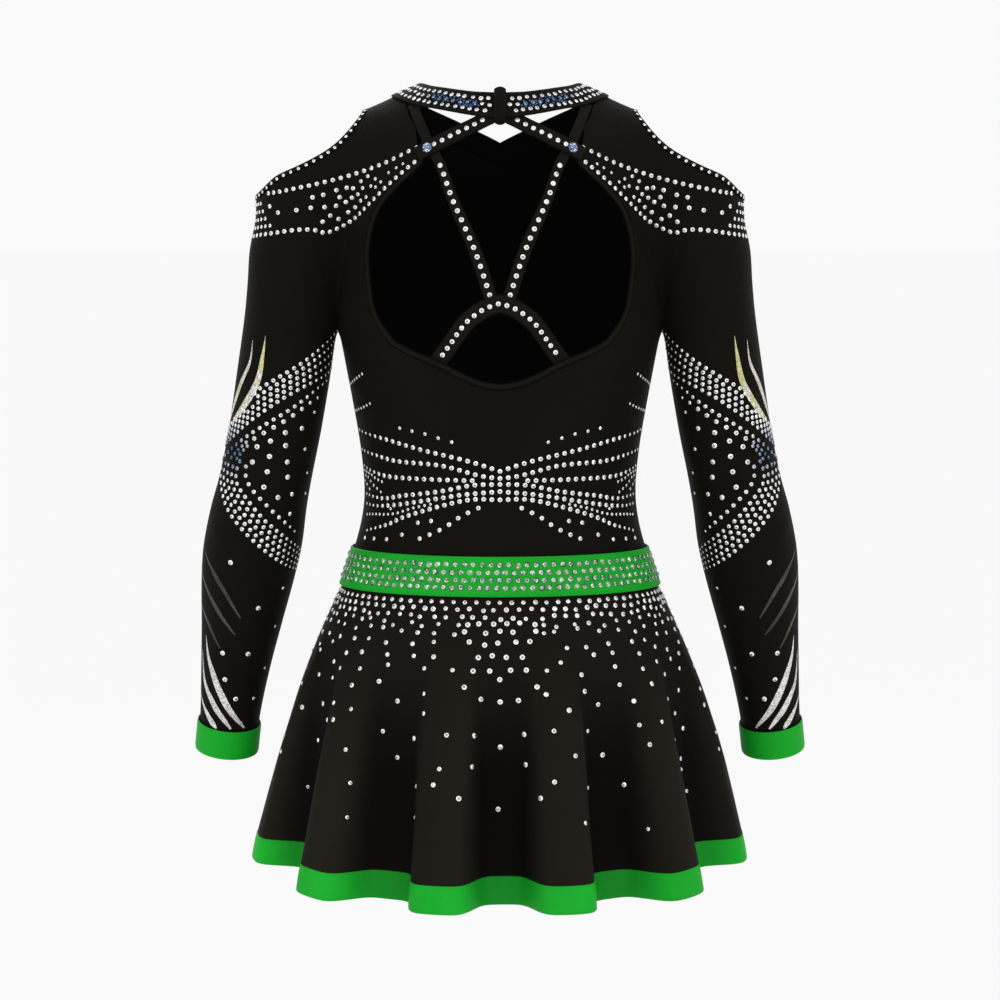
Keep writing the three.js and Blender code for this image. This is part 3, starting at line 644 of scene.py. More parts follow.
def graded_spots(line: Array, first: float, last: float) -> Array:
    """Points along a line whose pitch changes evenly from first to last."""
    total = lengths_along(line)[-1]
    count = int(round(2 * total / (first + last)))
    u = np.arange(count + 1) / count
    grade = (first - last) / (first + last)
    return at_lengths(line, total * ((1 + grade) * u - grade * u**2))


@dataclass
class Stitches:
    """Short thread stitches gathered for one piece: five-sided grains along a line."""

    name: str
    long: float = 2.3
    thick: float = 0.34
    flat: float = 0.8
    pitch: float = 3.1
    sides: int = 5
    taper: float = 0.62
    sink: float = 0.12
    runs: list[tuple[Array, Array, bool]] = field(default_factory=list)

    def add(self, line: Array, outs: Array, loop: bool = False) -> None:
        """Adds a row along a line of points, with the way out at each."""
        self.runs.append((line, outs, loop))

    def set_on(self, line: Array, lift: float, place: Place = as_is, loop: bool = True) -> None:
        """Adds a row along a line on the figure, lifted by `lift`."""
        out = BODY.outward(line)
        self.add(place(line + out * lift), place(out), loop)

    def grains(self, line: Array, outs: Array, loop: bool) -> Array:
        """Corners of each stitch of a row: an end point, two rings and the other end point."""
        path = np.vstack([line, line[:1]]) if loop else line
        ways = np.vstack([outs, outs[:1]]) if loop else outs
        run = lengths_along(path)
        count = max(int(run[-1] / self.pitch), 1)
        want = (np.arange(count) + 0.5) * run[-1] / count
        middle = at_lengths(path, want)
        out = unit(np.stack([np.interp(want, run, ways[:, k]) for k in range(3)], -1))
        ahead = at_lengths(path, np.minimum(want + 0.5, run[-1]))
        along = unit(ahead - at_lengths(path, np.maximum(want - 0.5, 0)))
        side = unit(np.cross(out, along))
        ring = spokes(side, self.flat * out, round_turns(self.sides)) * (self.thick / 2)
        half = along * self.long / 2
        parts = [
            (middle - half - out * self.sink)[:, None],
            (middle - half * self.taper)[:, None] + ring,
            (middle + half * self.taper)[:, None] + ring,
            (middle + half - out * self.sink)[:, None],
        ]
        return np.concatenate(parts, 1)

    def build(self) -> Piece:
        """All the rows in one mesh; a stitch's faces join its ends and its two rings."""
        n = self.sides
        last = 2 * n + 1
        pairs = [(1 + i, 1 + (i + 1) % n) for i in range(n)]
        shape = [[0, j, i] for i, j in pairs]
        shape += [[i, j, j + n, i + n] for i, j in pairs]
        shape += [[last, i + n, j + n] for i, j in pairs]
        all_corners, all_faces, base = [], [], 0
        for line, outs, loop in self.runs:
            corners = self.grains(line, outs, loop)
            a, b, c = corners[0, shape[0]]
            inward = np.cross(b - a, c - a) @ ((a + b + c) / 3 - corners[0].mean(0)) < 0
            turned = [face[::-1] for face in shape] if inward else shape
            starts = base + np.arange(len(corners)) * (last + 1)
            all_faces += [[int(start) + k for k in face] for start in starts for face in turned]
            all_corners.append(corners.reshape(-1, 3))
            base += len(all_corners[-1])
        corners = np.vstack(all_corners)
        return make_object(self.name, corners, all_faces, shade=np.ones(len(corners)))


# ---- finishes ----
class Tree:
    """A material's nodes, made one after another and wired by name."""

    def __init__(self, name: str) -> None:
        """Starts a material with a Principled shader wired to its output."""
        self.material = bpy.data.materials.new(name)
        self.material.use_nodes = True
        self.nodes = self.material.node_tree.nodes
        self.links = self.material.node_tree.links
        self.shader = self.nodes["Principled BSDF"]

    def add(self, kind: str, **values: object) -> Node:
        """A node of this kind; values name its properties or its inputs."""
        node = self.nodes.new(kind)
        for key, value in values.items():
            if key in node.inputs:
                node.inputs[key].default_value = value
            else:
                setattr(node, key, value)
        return node

    def feed(self, node: Node, into: str | int, value: object) -> None:
        """Gives an input a plain value, or wires a (node, output) pair to it."""
        if isinstance(value, tuple) and isinstance(value[0], Node):
            self.links.new(value[0].outputs[value[1]], node.inputs[into])
        else:
            node.inputs[into].default_value = value

    def shine(self, **values: object) -> None:
        """Feeds the shader's inputs; an underscore in a name stands for a space."""
        for key, value in values.items():
            self.feed(self.shader, key.replace("_", " "), value)

    def number(self, kind: str, a: object, b: object) -> tuple[Node, int]:
        """The result of a Math node of two inputs."""
        node = self.add("ShaderNodeMath", operation=kind)
        self.feed(node, 0, a)
        self.feed(node, 1, b)
        return node, 0

    def own(self, label: str) -> tuple[Node, str]:
        """A value that the piece's mesh carries."""
        return self.add("ShaderNodeAttribute", attribute_name=label), "Fac"

    def on_piece(self, kind: str, **values: object) -> Node:
        """A texture node on the piece's own coordinates."""
        node = self.add(kind, **values)
        self.feed(node, "Vector", (self.add("ShaderNodeTexCoord"), "Object"))
        return node

    def blend(self, share: object, low: object, high: object) -> tuple[Node, int]:
        """A colour between two, by a share."""
        node = self.add("ShaderNodeMix", data_type="RGBA")
        for into, value in ((0, share), (6, low), (7, high)):
            self.feed(node, into, value)
        return node, 2

    def ramp(self, share: object, places: tuple[float, float], colours: tuple) -> tuple:
        """Two colours with a soft change between two places of a share."""
        node = self.add("ShaderNodeValToRGB")
        for element, place, colour in zip(node.color_ramp.elements, places, colours):
            element.position, element.color = place, (*colour, 1)
        self.feed(node, "Fac", share)
        return node, "Color"

    def emboss(self, height: object, strength: float, depth: float) -> None:
        """Bump from a height, depth in metres."""
        node = self.add("ShaderNodeBump", Strength=strength, Distance=depth)
        self.feed(node, "Height", height)
        self.feed(self.shader, "Normal", (node, "Normal"))


Colour = tuple[float, float, float]


@dataclass(frozen=True)
class Cloth:
    """Knit or satin cloth: a fine rib across and along, slow changes of tone, lint and sheen."""

    name: str
    deep: Colour
    light: Colour
    rough: float
    gloss: float
    rib: float
    course: float
    weave_depth: float
    sheen: float = 0.0

    def make(self) -> bpy.types.Material:
        """Base colour mixed by slow noise, lint and the weave, then scaled by painted light and shade; bump from the
        weave's two waves.
        """
        tree = Tree(self.name)
        place = tree.add("ShaderNodeUVMap", uv_map="cloth")
        per_wave = 0.3142  # a wave texture of scale 1 repeats at this length
        waves = []
        for way, pitch in (("X", self.rib), ("Y", self.course)):
            wave = tree.add(
                "ShaderNodeTexWave", bands_direction=way, Scale=per_wave / pitch, Distortion=0.6
            )
            tree.feed(wave, "Detail Scale", 0.4)
            tree.feed(wave, "Vector", (place, "UV"))
            waves.append((wave, "Fac"))
        weave = tree.number("MULTIPLY", *waves)
        slow = tree.on_piece("ShaderNodeTexNoise", Scale=14.0, Detail=4.0, Roughness=0.55), "Fac"
        lint = tree.on_piece("ShaderNodeTexNoise", Scale=620.0, Detail=3.0, Roughness=0.7), "Fac"
        share = tree.number(
            "ADD", tree.number("MULTIPLY", slow, 0.55), tree.number("MULTIPLY", lint, 0.3)
        )
        share = tree.number("ADD", share, tree.number("MULTIPLY", weave, 0.3))
        # The mixed colour is scaled by the mesh's `shade`, which paints light and shade into it.
        colour_with_painted_shade = tree.add("ShaderNodeVectorMath", operation="SCALE")
        tree.feed(colour_with_painted_shade, 0, tree.blend(share, (*self.deep, 1), (*self.light, 1)))
        tree.feed(colour_with_painted_shade, "Scale", tree.own("shade"))
        rough = tree.number("ADD", tree.number("MULTIPLY", slow, 0.16), self.rough - 0.08)
        tree.shine(
            Base_Color=(colour_with_painted_shade, 0), Roughness=rough, Specular_IOR_Level=self.gloss,
            Sheen_Weight=self.sheen, Sheen_Roughness=0.45,
        )
        tree.emboss(weave, self.weave_depth, 0.0002)
        return tree.material


@dataclass(frozen=True)
class Crystal:
    """Cut stones with painted reflections: bright crowns round darker tables, some washed with blue and green."""

    name: str
    dark: Colour
    bright: Colour
    wash: Colour
    wash_two: Colour

    def make(self) -> bpy.types.Material:
        """Colour from each face's `shine`, its painted reflection, turned toward the washes by its `tint`."""
        tree = Tree(self.name)
        base = tree.blend(tree.own("shine"), (*self.dark, 1), (*self.bright, 1))
        noise = tree.on_piece("ShaderNodeTexNoise", Scale=160.0, Detail=1.0)
        wash = tree.ramp((noise, "Fac"), (0.42, 0.58), (self.wash, self.wash_two))
        tree.shine(
            Base_Color=tree.blend(tree.own("tint"), base, wash), Metallic=0.35, Roughness=0.16,
            IOR=1.55,
        )
        return tree.material


@dataclass(frozen=True)
class Glitter:
    """Glitter film: fine flakes of unlike brightness over a base colour."""

    name: str
    base: Colour
    flake: Colour
    second: Colour
    grain: float = 1250.0

    def make(self) -> bpy.types.Material:
        """Cells of a fine Voronoi pattern, each its own share from base to one of two flakes."""
        tree = Tree(self.name)
        cells = tree.on_piece("ShaderNodeTexVoronoi", Scale=self.grain)
        split = tree.add("ShaderNodeSeparateColor")
        tree.feed(split, "Color", (cells, "Color"))
        drift = tree.on_piece("ShaderNodeTexNoise", Scale=42.0, Detail=1.0)
        flakes = tree.ramp((drift, "Fac"), (0.46, 0.56), (self.flake, self.second))
        colour = tree.blend((split, "Red"), (*self.base, 1), flakes)
        tree.shine(Base_Color=colour, Roughness=0.38, Metallic=0.3)
        tree.emboss((split, "Green"), 0.4, 0.0001)
        return tree.material


class Finish(Enum):
    """The garment's finishes."""

    BLACK = Cloth(
        "black_stretch", deep=(0.0060, 0.0050, 0.0028), light=(0.0160, 0.0136, 0.0086),
        rough=0.66, gloss=0.045, rib=0.62, course=0.5, weave_depth=0.5, sheen=0.01,
    )
    GREEN = Cloth(
        "green_satin", deep=(0.0040, 0.235, 0.0090), light=(0.0090, 0.50, 0.0330),
        rough=0.5, gloss=0.08, rib=0.7, course=0.55, weave_depth=0.35, sheen=0.01,
    )
    THREAD_BLACK = Cloth(
        "black_thread", deep=(0.008, 0.0075, 0.006), light=(0.03, 0.028, 0.024),
        rough=0.6, gloss=0.1, rib=0.4, course=0.4, weave_depth=0.5,
    )
    THREAD_GREEN = Cloth(
        "green_thread", deep=(0.004, 0.22, 0.008), light=(0.010, 0.38, 0.022),
        rough=0.5, gloss=0.1, rib=0.4, course=0.4, weave_depth=0.5,
    )
    CRYSTAL = Crystal(
        "crystal", dark=(0.10, 0.11, 0.11), bright=(1.0, 1.0, 1.0),
        wash=(0.004, 0.025, 0.19), wash_two=(0.004, 0.10, 0.16),
    )
    CRYSTAL_ON_GREEN = Crystal(
        "crystal_on_green", dark=(0.004, 0.050, 0.014), bright=(0.90, 1.0, 0.88),
        wash=(0.01, 0.26, 0.07), wash_two=(0.40, 0.62, 0.34),
    )
    SAPPHIRE = Crystal(
        "blue_crystal", dark=(0.01, 0.03, 0.12), bright=(0.90, 0.97, 1.0),
        wash=(0.004, 0.015, 0.20), wash_two=(0.0, 0.10, 0.22),
    )
    SILVER = Glitter(
        "silver_glitter", base=(0.26, 0.25, 0.24), flake=(1.0, 1.0, 0.98), second=(0.86, 0.85, 0.84)
    )
    GOLD = Glitter(
        "pale_gold_glitter", base=(0.24, 0.22, 0.15), flake=(0.94, 0.86, 0.85),
        second=(0.72, 0.70, 0.28),
    )
    SMOKE = Glitter(
        "smoke_glitter", base=(0.008, 0.009, 0.006), flake=(0.062, 0.062, 0.054),
        second=(0.030, 0.032, 0.022),
    )


_made: dict[Finish, bpy.types.Material] = {}


def finish_of(kind: Finish) -> bpy.types.Material:
    """The material of a finish, made once."""
    if kind not in _made:
        _made[kind] = kind.value.make()
    return _made[kind]


def dress(piece: Piece, finish: Finish, slot: str | None, *nodes: str) -> Piece:
    """Gives a piece its finish, its body and its slot, and hides the solids it stands for.

    Args:
        piece: the finished object.
        finish: what it is made of.
        slot: the record's material slot, or None.
        nodes: the solids that it replaces.

    Returns:
        The same object.
    """
    piece.data.materials.clear()
    piece.data.materials.append(finish_of(finish))
    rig.ride(piece, "root")
    if nodes:
        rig.replaces(piece, *nodes)
    if slot:
        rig.slot(piece, slot)
    log.info("%s: %d faces", piece.name, len(piece.data.polygons))
    return piece


# ---- creases ----
@dataclass(frozen=True)
class Crease:
    """A soft trough or ridge along a bent line: full in the middle, fading to both ends."""

    start: tuple[float, float, float]
    middle: tuple[float, float, float]
    end: tuple[float, float, float]
    width: float
    height: float

    def rise(self, p: Array) -> Array:
        """Height times a bell of the distance to the line, times a fade along it."""
        a, b, c = (np.array(q, float) for q in (self.start, self.middle, self.end))
        steps = 20
        t = np.linspace(0, 1, steps + 1)[:, None]
        line = (1 - t) ** 2 * a + 2 * t * (1 - t) * (2 * b - 0.5 * (a + c)) + t**2 * c
        gap = np.linalg.norm(p[..., None, :] - line, axis=-1)
        along = gap.argmin(-1) / steps
        fade = ease(0, 0.35, along) * (1 - ease(0.6, 1, along))
        return self.height * fade * np.exp(-((gap.min(-1) / self.width) ** 2))


def relief_of(creases: tuple[Crease, ...]) -> Callable[[Array], Array]:
    """The sum of the creases' rises, alike on both sides."""

    def rise(p: Array) -> Array:
        """Total lift at points p."""
        q = p.copy()
        q[..., 0] = np.abs(q[..., 0])
        return sum(crease.rise(q) for crease in creases)

    return rise


SLEEVE_CREASES = (
    Crease((178, -20, -330), (176, 12, -342), (200, 44, -346), 4.5, -1.3),
    Crease((183, -25, -352), (182, 8, -362), (206, 40, -366), 5.0, 1.0),
    Crease((186, -22, -378), (189, 8, -384), (214, 36, -382), 4.5, -1.1),
    Crease((248, 20, -356), (240, 36, -372), (222, 44, -392), 5.5, 0.9),
    Crease((246, 10, -392), (238, 30, -404), (218, 36, -420), 5.0, -1.0),
    Crease((150, 10, -200), (160, 38, -208), (186, 46, -196), 6.0, -1.2),
    Crease((152, 4, -222), (163, 36, -236), (192, 48, -236), 7.0, 0.9),
    Crease((212, 0, -468), (222, 18, -476), (244, 14, -470), 4.0, -0.8),
    Crease((216, -8, -500), (228, 8, -510), (250, -4, -500), 4.0, 0.7),
    Crease((224, -20, -532), (236, -2, -538), (252, -14, -528), 3.6, -0.7),
    Crease((176, -44, -330), (196, -36, -340), (216, -30, -336), 6.0, -1.0),
    Crease((190, -46, -372), (206, -40, -380), (228, -30, -370), 5.5, 0.9),
)
BODY_CREASES = (
    Crease((136, 26, -196), (118, 56, -214), (96, 70, -232), 6.5, -1.3),
    Crease((134, 34, -178), (122, 56, -186), (112, 62, -200), 5.0, 0.9),
    Crease((118, 22, -300), (88, 62, -292), (52, 80, -300), 9.0, -0.8),
    Crease((116, 20, -344), (84, 60, -352), (46, 78, -348), 8.0, 0.8),
    Crease((120, 16, -372), (94, 54, -370), (60, 74, -376), 6.0, -0.8),
    Crease((20, 92, -252), (12, 88, -282), (16, 84, -316), 12.0, -0.7),
    Crease((134, -28, -196), (112, -62, -212), (86, -84, -226), 7.0, -1.2),
    Crease((118, -26, -306), (84, -66, -298), (44, -84, -306), 10.0, -0.8),
    Crease((118, -20, -362), (80, -66, -364), (40, -82, -358), 7.0, 0.7),
    Crease((140, 40, -60), (112, 54, -58), (92, 58, -54), 6.0, 0.5),
)
body_relief = relief_of(BODY_CREASES)
sleeve_relief = relief_of(SLEEVE_CREASES)


# ---- seam lines ----
STEPS = {"neck": 5, "armhole": 7, "side": 8, "waist": 8, "outer_cut": 6}


@dataclass
class Seams:
    """Seam lines of the +X half, each from the neck outward or downward."""

    cut_lean: float = 57.5
    cut_open: Table = Table((  # degrees round from the inner tip, half the opening in degrees
        (0, 67.5), (30, 71.5), (45, 72.8), (60, 72.5), (90, 69.3), (120, 65.5), (150, 69.5), (180, 71),
    ))
    pit_x: float = 138.9

    def __post_init__(self) -> None:
        """Works all the lines out, in the order in which they meet."""
        n = {key: steps * FINE for key, steps in STEPS.items()}
        self.n = n
        quarters = [
            np.arange(n["neck"]) * QUARTER / n["neck"],
            QUARTER + np.arange(2 * n["outer_cut"]) * QUARTER / n["outer_cut"],
            3 * QUARTER + np.arange(n["neck"]) * QUARTER / n["neck"],
        ]
        self.cut_edge = self.cut_points(np.concatenate(quarters))
        beyond = 2 * self.cut_edge - self.cut_centre()
        self.cut_bound = stand_back(self.cut_edge, beyond, CUT_BINDING, True)
        panel = stand_back(self.cut_edge, beyond, CUT_BINDING + BUTT, True)
        back, front = n["neck"], n["neck"] + 2 * n["outer_cut"]
        self.inner_back = panel[: back + 1]
        self.inner_front = np.vstack([panel[:1], panel[front:][::-1]])
        self.outer_cut = panel[back : front + 1]
        pit = self.armpit()
        self.armhole_back = seam(
            [self.outer_cut[0], (152, 50, -88), (150.4, 45.3, -121), (145.5, 31.2, -163),
             (140.5, 12, -186), pit], n["armhole"])
        self.armhole_front = seam(
            [self.outer_cut[-1], (151, -50, -88), (149, -45.3, -121), (144.5, -31, -163),
             (140.5, -12, -186), pit], n["armhole"])
        sides = np.array([-222.0, -260, -299, -338, -364])
        half = BODY.torso.read(sides)[:, 0]
        points = np.stack([half, 0 * half, sides], -1)
        self.side = seam(
            np.vstack([pit, points, waist_points(np.array([QUARTER]), WAIST_LAP)]), n["side"])
        turn = np.linspace(QUARTER, 0, n["waist"] + 1)
        self.waist_back = waist_points(turn, WAIST_LAP)
        self.waist_front = waist_points(np.pi - turn, WAIST_LAP)
        strap = seam(
            [(88.5, 0, -1), (83, 28, -5), (79.5, 36, -8), (75.5, 48, -20), (69.5, 58.6, -31.5),
             (65.5, 66.8, -44)], n["neck"])
        upper = seam(
            [strap[-1], (62, 72.6, -55), (68.8, 72, -64.6), (86.4, 66.6, -81), (99.5, 60.9, -97.5),
             (105.5, 58.4, -114), (107.2, 57.9, -122.4)], n["armhole"])
        low = seam(
            [upper[-1], (108.5, 58.3, -139), (105.2, 62.7, -172), (99.7, 66.3, -188),
             (87.5, 72.3, -205)], n["side"])
        foot = seam(
            [low[-1], (72.8, 78.9, -212.6), (51, 86.2, -221.2), (33, 89.4, -230.4),
             (16, 90.4, -237.3), (5, 90.7, -239.7), (0, 90.7, -239.9)], n["waist"])
        self.back_edge = joined(strap, upper, low, foot)
        self.back_rim = joined(self.inner_back, self.armhole_back, self.side, self.waist_back)
        neck = [(60, -57, -31.5), (33, -76, -47), (18, -83, -54), (8, -86, -58), (0, -87.5, -61)]
        self.front_edge = joined(
            seam([(88.5, 0, -1), (81, -28, -12.5), neck[0]], n["neck"]),
            seam(neck[:2], n["armhole"]),
            seam(neck[1:3], n["side"]),
            seam(neck[2:], n["waist"]),
        )
        self.front_rim = joined(self.inner_front, self.armhole_front, self.side, self.waist_front)

    def cut_axes(self) -> tuple[Array, Array]:
        """The axis of the cold shoulder's opening and the way square to it, in the X-Z plane."""
        lean = np.radians(self.cut_lean)
        return np.array([np.cos(lean), 0, np.sin(lean)]), np.array([np.sin(lean), 0, -np.cos(lean)])

    def cut_centre(self) -> Array:
        """A point in the middle of the opening."""
        return np.array(BODY.shoulder_out) + self.cut_axes()[0] * BODY.radius_out / 2

    def cut_points(self, angles: Array) -> Array:
        """Points of the cold-shoulder edge, at angles from its inner tip, positive to the back.

        Each lies where a ray from the shoulder's centre, opened by cut_open from the axis, leaves
        the figure; found by halving.
        """
        axis, out = self.cut_axes()
        round_ = np.abs(np.arctan2(np.sin(angles), np.cos(angles)))
        half = np.radians(self.cut_open.read(np.degrees(round_))[:, 0])
        way = np.cos(half)[:, None] * axis - (np.sin(half) * np.cos(angles))[:, None] * out
        way[:, 1] = np.sin(half) * np.sin(angles)
        low, high = np.full(len(angles), 20.0), np.full(len(angles), 120.0)
        centre = np.array(BODY.shoulder_out, float)
        for _ in range(30):
            middle = (low + high) / 2
            inside = BODY.distance(centre + way * middle[:, None]) < 0
            low, high = np.where(inside, middle, low), np.where(inside, high, middle)
        return centre + way * low[:, None]

    def armpit(self) -> Array:
        """The lowest point of the web between body and arm, by halving."""
        low, high = -215.0, -150.0
        for _ in range(30):
            middle = (low + high) / 2
            if BODY.distance(np.array([self.pit_x, 0, middle])) < 0:
                high = middle
            else:
                low = middle
        return np.array([self.pit_x, 0, high])


def waist_rise(angle: Array) -> Array:
    """How much higher the waistband stands at an angle from the back."""
    return WAIST_RISE * 0.5 * (1 + np.cos(angle))


def waist_points(angle: Array, drop: Array | float) -> Array:
    """Points on the figure, `drop` below the waistband's nominal top, at angles from the back."""
    z = WAIST_TOP - drop + waist_rise(angle)
    half, back, front = np.moveaxis(BODY.torso.read(z), -1, 0)
    depth = np.where(np.cos(angle) > 0, back, front)
    return BODY.settle(np.stack([half * np.sin(angle), depth * np.cos(angle), z], -1))


def arm_ring(z: float, count: int) -> Array:
    """A ring round the arm at height z, square to the arm toward the wrist; 0 faces the body."""
    x, y, wide, deep = BODY.arm.read(z)
    nx, ny = BODY.arm.read(z - 10)[:2]
    tilt = 1 - ease(-420, -240, z)
    along = unit(np.array([(nx - x) * tilt, (ny - y) * tilt, -10]))
    across = np.array([-1.0, 0, 0])
    across = unit(across - along * (across @ along))
    back = unit(np.cross(along, across))
    back = back * np.sign(back[1])
    return BODY.settle(np.array([x, y, z]) + spokes(across * wide, back * deep, round_turns(count)))


# ---- places for stones ----
Guide = tuple[tuple[float, float, float], ...]


def guide_line(points: Guide, samples: int = 80) -> Array:
    """A smooth line through the points, on the figure."""
    return BODY.settle(smooth_curve(np.array(points, float), samples))


def family(first: Guide, last: Guide, rows: int) -> list[Array]:
    """Lines spread evenly from the first guide to the last, joined at equal shares.

    Args:
        first: guide of the first line.
        last: guide of the last line.
        rows: how many lines, both ends counted.

    Returns:
        The lines, on the figure.
    """
    a, b = guide_line(first), guide_line(last)
    a = at_lengths(a, np.linspace(0, lengths_along(a)[-1], 60))
    b = at_lengths(b, np.linspace(0, lengths_along(b)[-1], 60))
    return [BODY.settle(a + (b - a) * share) for share in np.linspace(0, 1, rows)]


def behind(x: Array, z: Array) -> Array:
    """The hindmost points of the figure at these places of the back view.

    Points come in from behind in steps of 0.7 of their distance outside; what misses settles on
    the nearest side.
    """
    p = np.stack([x, np.full_like(x, 125.0), z], -1)
    best, least = p.copy(), np.full(len(x), 1e9)
    for _ in range(160):
        d = BODY.distance(p)
        closer = d < least
        best[closer], least[closer] = p[closer], d[closer]
        p[:, 1] -= np.maximum(d * 0.7, 0.0)
    return BODY.settle(best)


# ---- the pieces ----
SEAMS = Seams()


def soft_shares(rows: int, lip: float = 0.02) -> Array:
    """Even shares from 0 to 1 with a narrow first and last row, which rounds a shell's edges."""
    return np.concatenate([[0.0], np.linspace(lip, 1 - lip, rows), [1.0]])


def lip_lift(shape: tuple[int, int], low: float, high: float, ring: bool = True) -> tuple[Array, Array]:
    """Lifts of inside and outside, pinched by a third of the wall at the first and last rows."""
    pinch = np.zeros(shape)
    pinch[[0, -1]] = (high - low) / 3
    if not ring:
        pinch[:, [0, -1]] = (high - low) / 3
    return low + pinch, high - pinch


def on_figure(name: str, grid: Array, lifts: tuple, ring: bool = True, place: Place = as_is,
              **more: object) -> Piece:
    """Builds a shell on points of the figure.

    Args:
        name: the piece's name.
        grid: rows of points on the figure, on the +X side where it has one.
        lifts: how far inside and outside stand off the figure.
        ring: whether the rows are rings.
        place: carries the +X side to the wanted one.
        more: the shell's relief or shade.

    Returns:
        The built piece, not dressed yet.
    """
    return Shell(name, place(grid), place(BODY.outward(grid)), *lifts, ring, **more).build()


@dataclass
class Bodice:
    """Back and front panels, the keyhole's binding and its stitches; BodyStones lays the stones on the back."""

    rows: int = 30

    def panel(self, name: str, edge: Array, rim: Array, gap: Array | float) -> Piece:
        """A panel from its neck or keyhole edge to its rim, both halves as one grid.

        Args:
            name: the piece's name.
            edge: the inner edge of the +X half.
            rim: its outer edge, point for point.
            gap: how far the cloth stands back from the inner edge, where a binding covers it.

        Returns:
            The built panel, not dressed yet.
        """
        half = between(stand_back(edge, rim, gap), rim, soft_shares(self.rows))
        grid = np.stack([both_sides(row) for row in half])
        lifts = lip_lift(grid.shape[:2], SKIN, CLOTH)
        return on_figure(name, grid, lifts, False, relief=body_relief)

    def build(self) -> tuple[Piece, Piece, Piece]:
        """The back and front panels and the keyhole binding, dressed."""
        n = SEAMS.n
        i = np.arange(len(SEAMS.back_edge))
        gap = (KEYHOLE_BINDING + BUTT) * np.clip((i - n["neck"] + FINE) / (2 * FINE), 0, 1)
        back = self.panel("back_bodice_cloth", SEAMS.back_edge, SEAMS.back_rim, gap)
        front = self.panel("front_bodice_cloth", SEAMS.front_edge, SEAMS.front_rim, 0.0)
        edge = SEAMS.back_edge[n["neck"] + FINE :]
        far = stand_back(SEAMS.back_edge, SEAMS.back_rim, KEYHOLE_BINDING)[n["neck"] + FINE :]
        binding = fold_over("keyhole_binding_cloth", both_sides(edge), both_sides(far), False)
        dress(back, Finish.BLACK, "black_stretch", "back_bodice")
        dress(front, Finish.BLACK, "black_stretch", "front_bodice")
        dress(binding, Finish.BLACK, "black_stretch", "keyhole_binding")
        return back, front, binding

    def stitches(self) -> Stitches:
        """A row along the keyhole binding's outer side."""
        first = SEAMS.n["neck"] + FINE
        line = stand_back(SEAMS.back_edge, SEAMS.back_rim, KEYHOLE_BINDING - 1.2)[first:]
        rows = Stitches("keyhole_stitches")
        rows.set_on(BODY.settle(both_sides(line)), 1.45, loop=False)
        return rows


def fold_over(name: str, edge: Array, far: Array, ring: bool) -> Piece:
    """A binding folded over an edge: a flat tape whose section swells a little in the middle.

    Args:
        name: the piece's name.
        edge: the edge that it covers.
        far: its other edge, point for point.
        ring: whether both are rings.

    Returns:
        The built piece, not dressed yet.
    """
    shares = np.linspace(0, 1, 7)
    grid = between(edge, far, shares)
    swell = np.sin(np.pi * shares)[:, None] * 0.35 * np.ones(len(edge))
    out = np.broadcast_to(BODY.outward(edge), grid.shape)
    # Painted light and shade across the tape: a lit line along its middle, darker toward both edges.
    tone = BODY_SHADE * (0.3 + 1.6 * np.sin(np.pi * np.clip(shares * 1.05, 0, 1)))[:, None]
    tone = tone * np.ones(len(edge))
    return Shell(name, grid, out, -0.4 - swell * 0.2, 1.35 + swell, ring, shade=tone).build()


@dataclass
class Sleeve:
    """One sleeve with its cuff and the binding of its cold shoulder; side is +1 for +X."""

    side: int
    rows_head: int = 26
    pitch: float = 3.4

    @property
    def label(self) -> str:
        """Which of the wearer's arms this is."""
        return "left" if self.side > 0 else "right"

    def place(self, points: Array) -> Array:
        """Points of the +X side carried to this side."""
        return SIDES[self.label](points)

    def top(self) -> Array:
        """The upper edge: from the armpit up behind, over the outside and down in front."""
        return np.vstack([SEAMS.armhole_back[1:][::-1], SEAMS.outer_cut, SEAMS.armhole_front[1:-1]])

    def grid(self) -> Array:
        """Rows from the upper edge to an even ring, then even rings to under the cuff."""
        top = self.top()
        cols = len(top)
        free = arm_ring(FREE_ARM_Z, cols)
        shares = np.concatenate([[0.0, 0.008], np.linspace(0, 1, self.rows_head)[1:]])
        upper = between(top, free, shares)
        end = CUFF_Z + CUFF_TALL - 3
        heights = np.linspace(FREE_ARM_Z, end, int((FREE_ARM_Z - end) / self.pitch))[1:]
        lower = np.stack([arm_ring(float(z), cols) for z in heights])
        return np.concatenate([upper, lower])

    def build(self) -> dict[str, Piece]:
        """Sleeve, cuff and binding, dressed."""
        grid = self.grid()
        cols = grid.shape[1]
        sleeve = on_figure(
            f"sleeve_{self.label}_cloth", grid, lip_lift(grid.shape[:2], SKIN, CLOTH),
            place=self.place, relief=sleeve_relief,
        )
        shares = np.linspace(0, 1, 12)
        cuff_grid = np.stack([arm_ring(CUFF_Z + CUFF_TALL * (1 - s), cols) for s in shares])
        flare = 0.5 * shares[:, None] * np.ones(cols)
        turn = np.where((shares < 0.01) | (shares > 0.99), 0.4, 0.0)[:, None]
        lifts = SLIM_LAP + flare + turn, SLIM_LAP + SLIM_BAND + flare - turn
        cuff = on_figure(
            f"cuff_{self.label}_cloth", cuff_grid, lifts, place=self.place, shade=CUFF_SHADE
        )
        binding = fold_over(
            f"shoulder_binding_{self.label}_cloth",
            self.place(SEAMS.cut_edge), self.place(SEAMS.cut_bound), True,
        )
        dress(sleeve, Finish.BLACK, "black_stretch", f"sleeve_{self.label}")
        dress(cuff, Finish.GREEN, "green_satin", f"cuff_{self.label}")
        dress(binding, Finish.BLACK, "black_stretch", f"shoulder_binding_{self.label}")
        return {"sleeve": sleeve, "cuff": cuff, "binding": binding}

    def stitches(self) -> Stitches:
        """A row below the cuff's upper edge."""
        rows = Stitches(f"cuff_{self.label}_stitches")
        ring = arm_ring(CUFF_Z + CUFF_TALL - STITCH_IN, 200)
        rows.set_on(ring, SLIM_LAP + SLIM_BAND, self.place)
        return rows


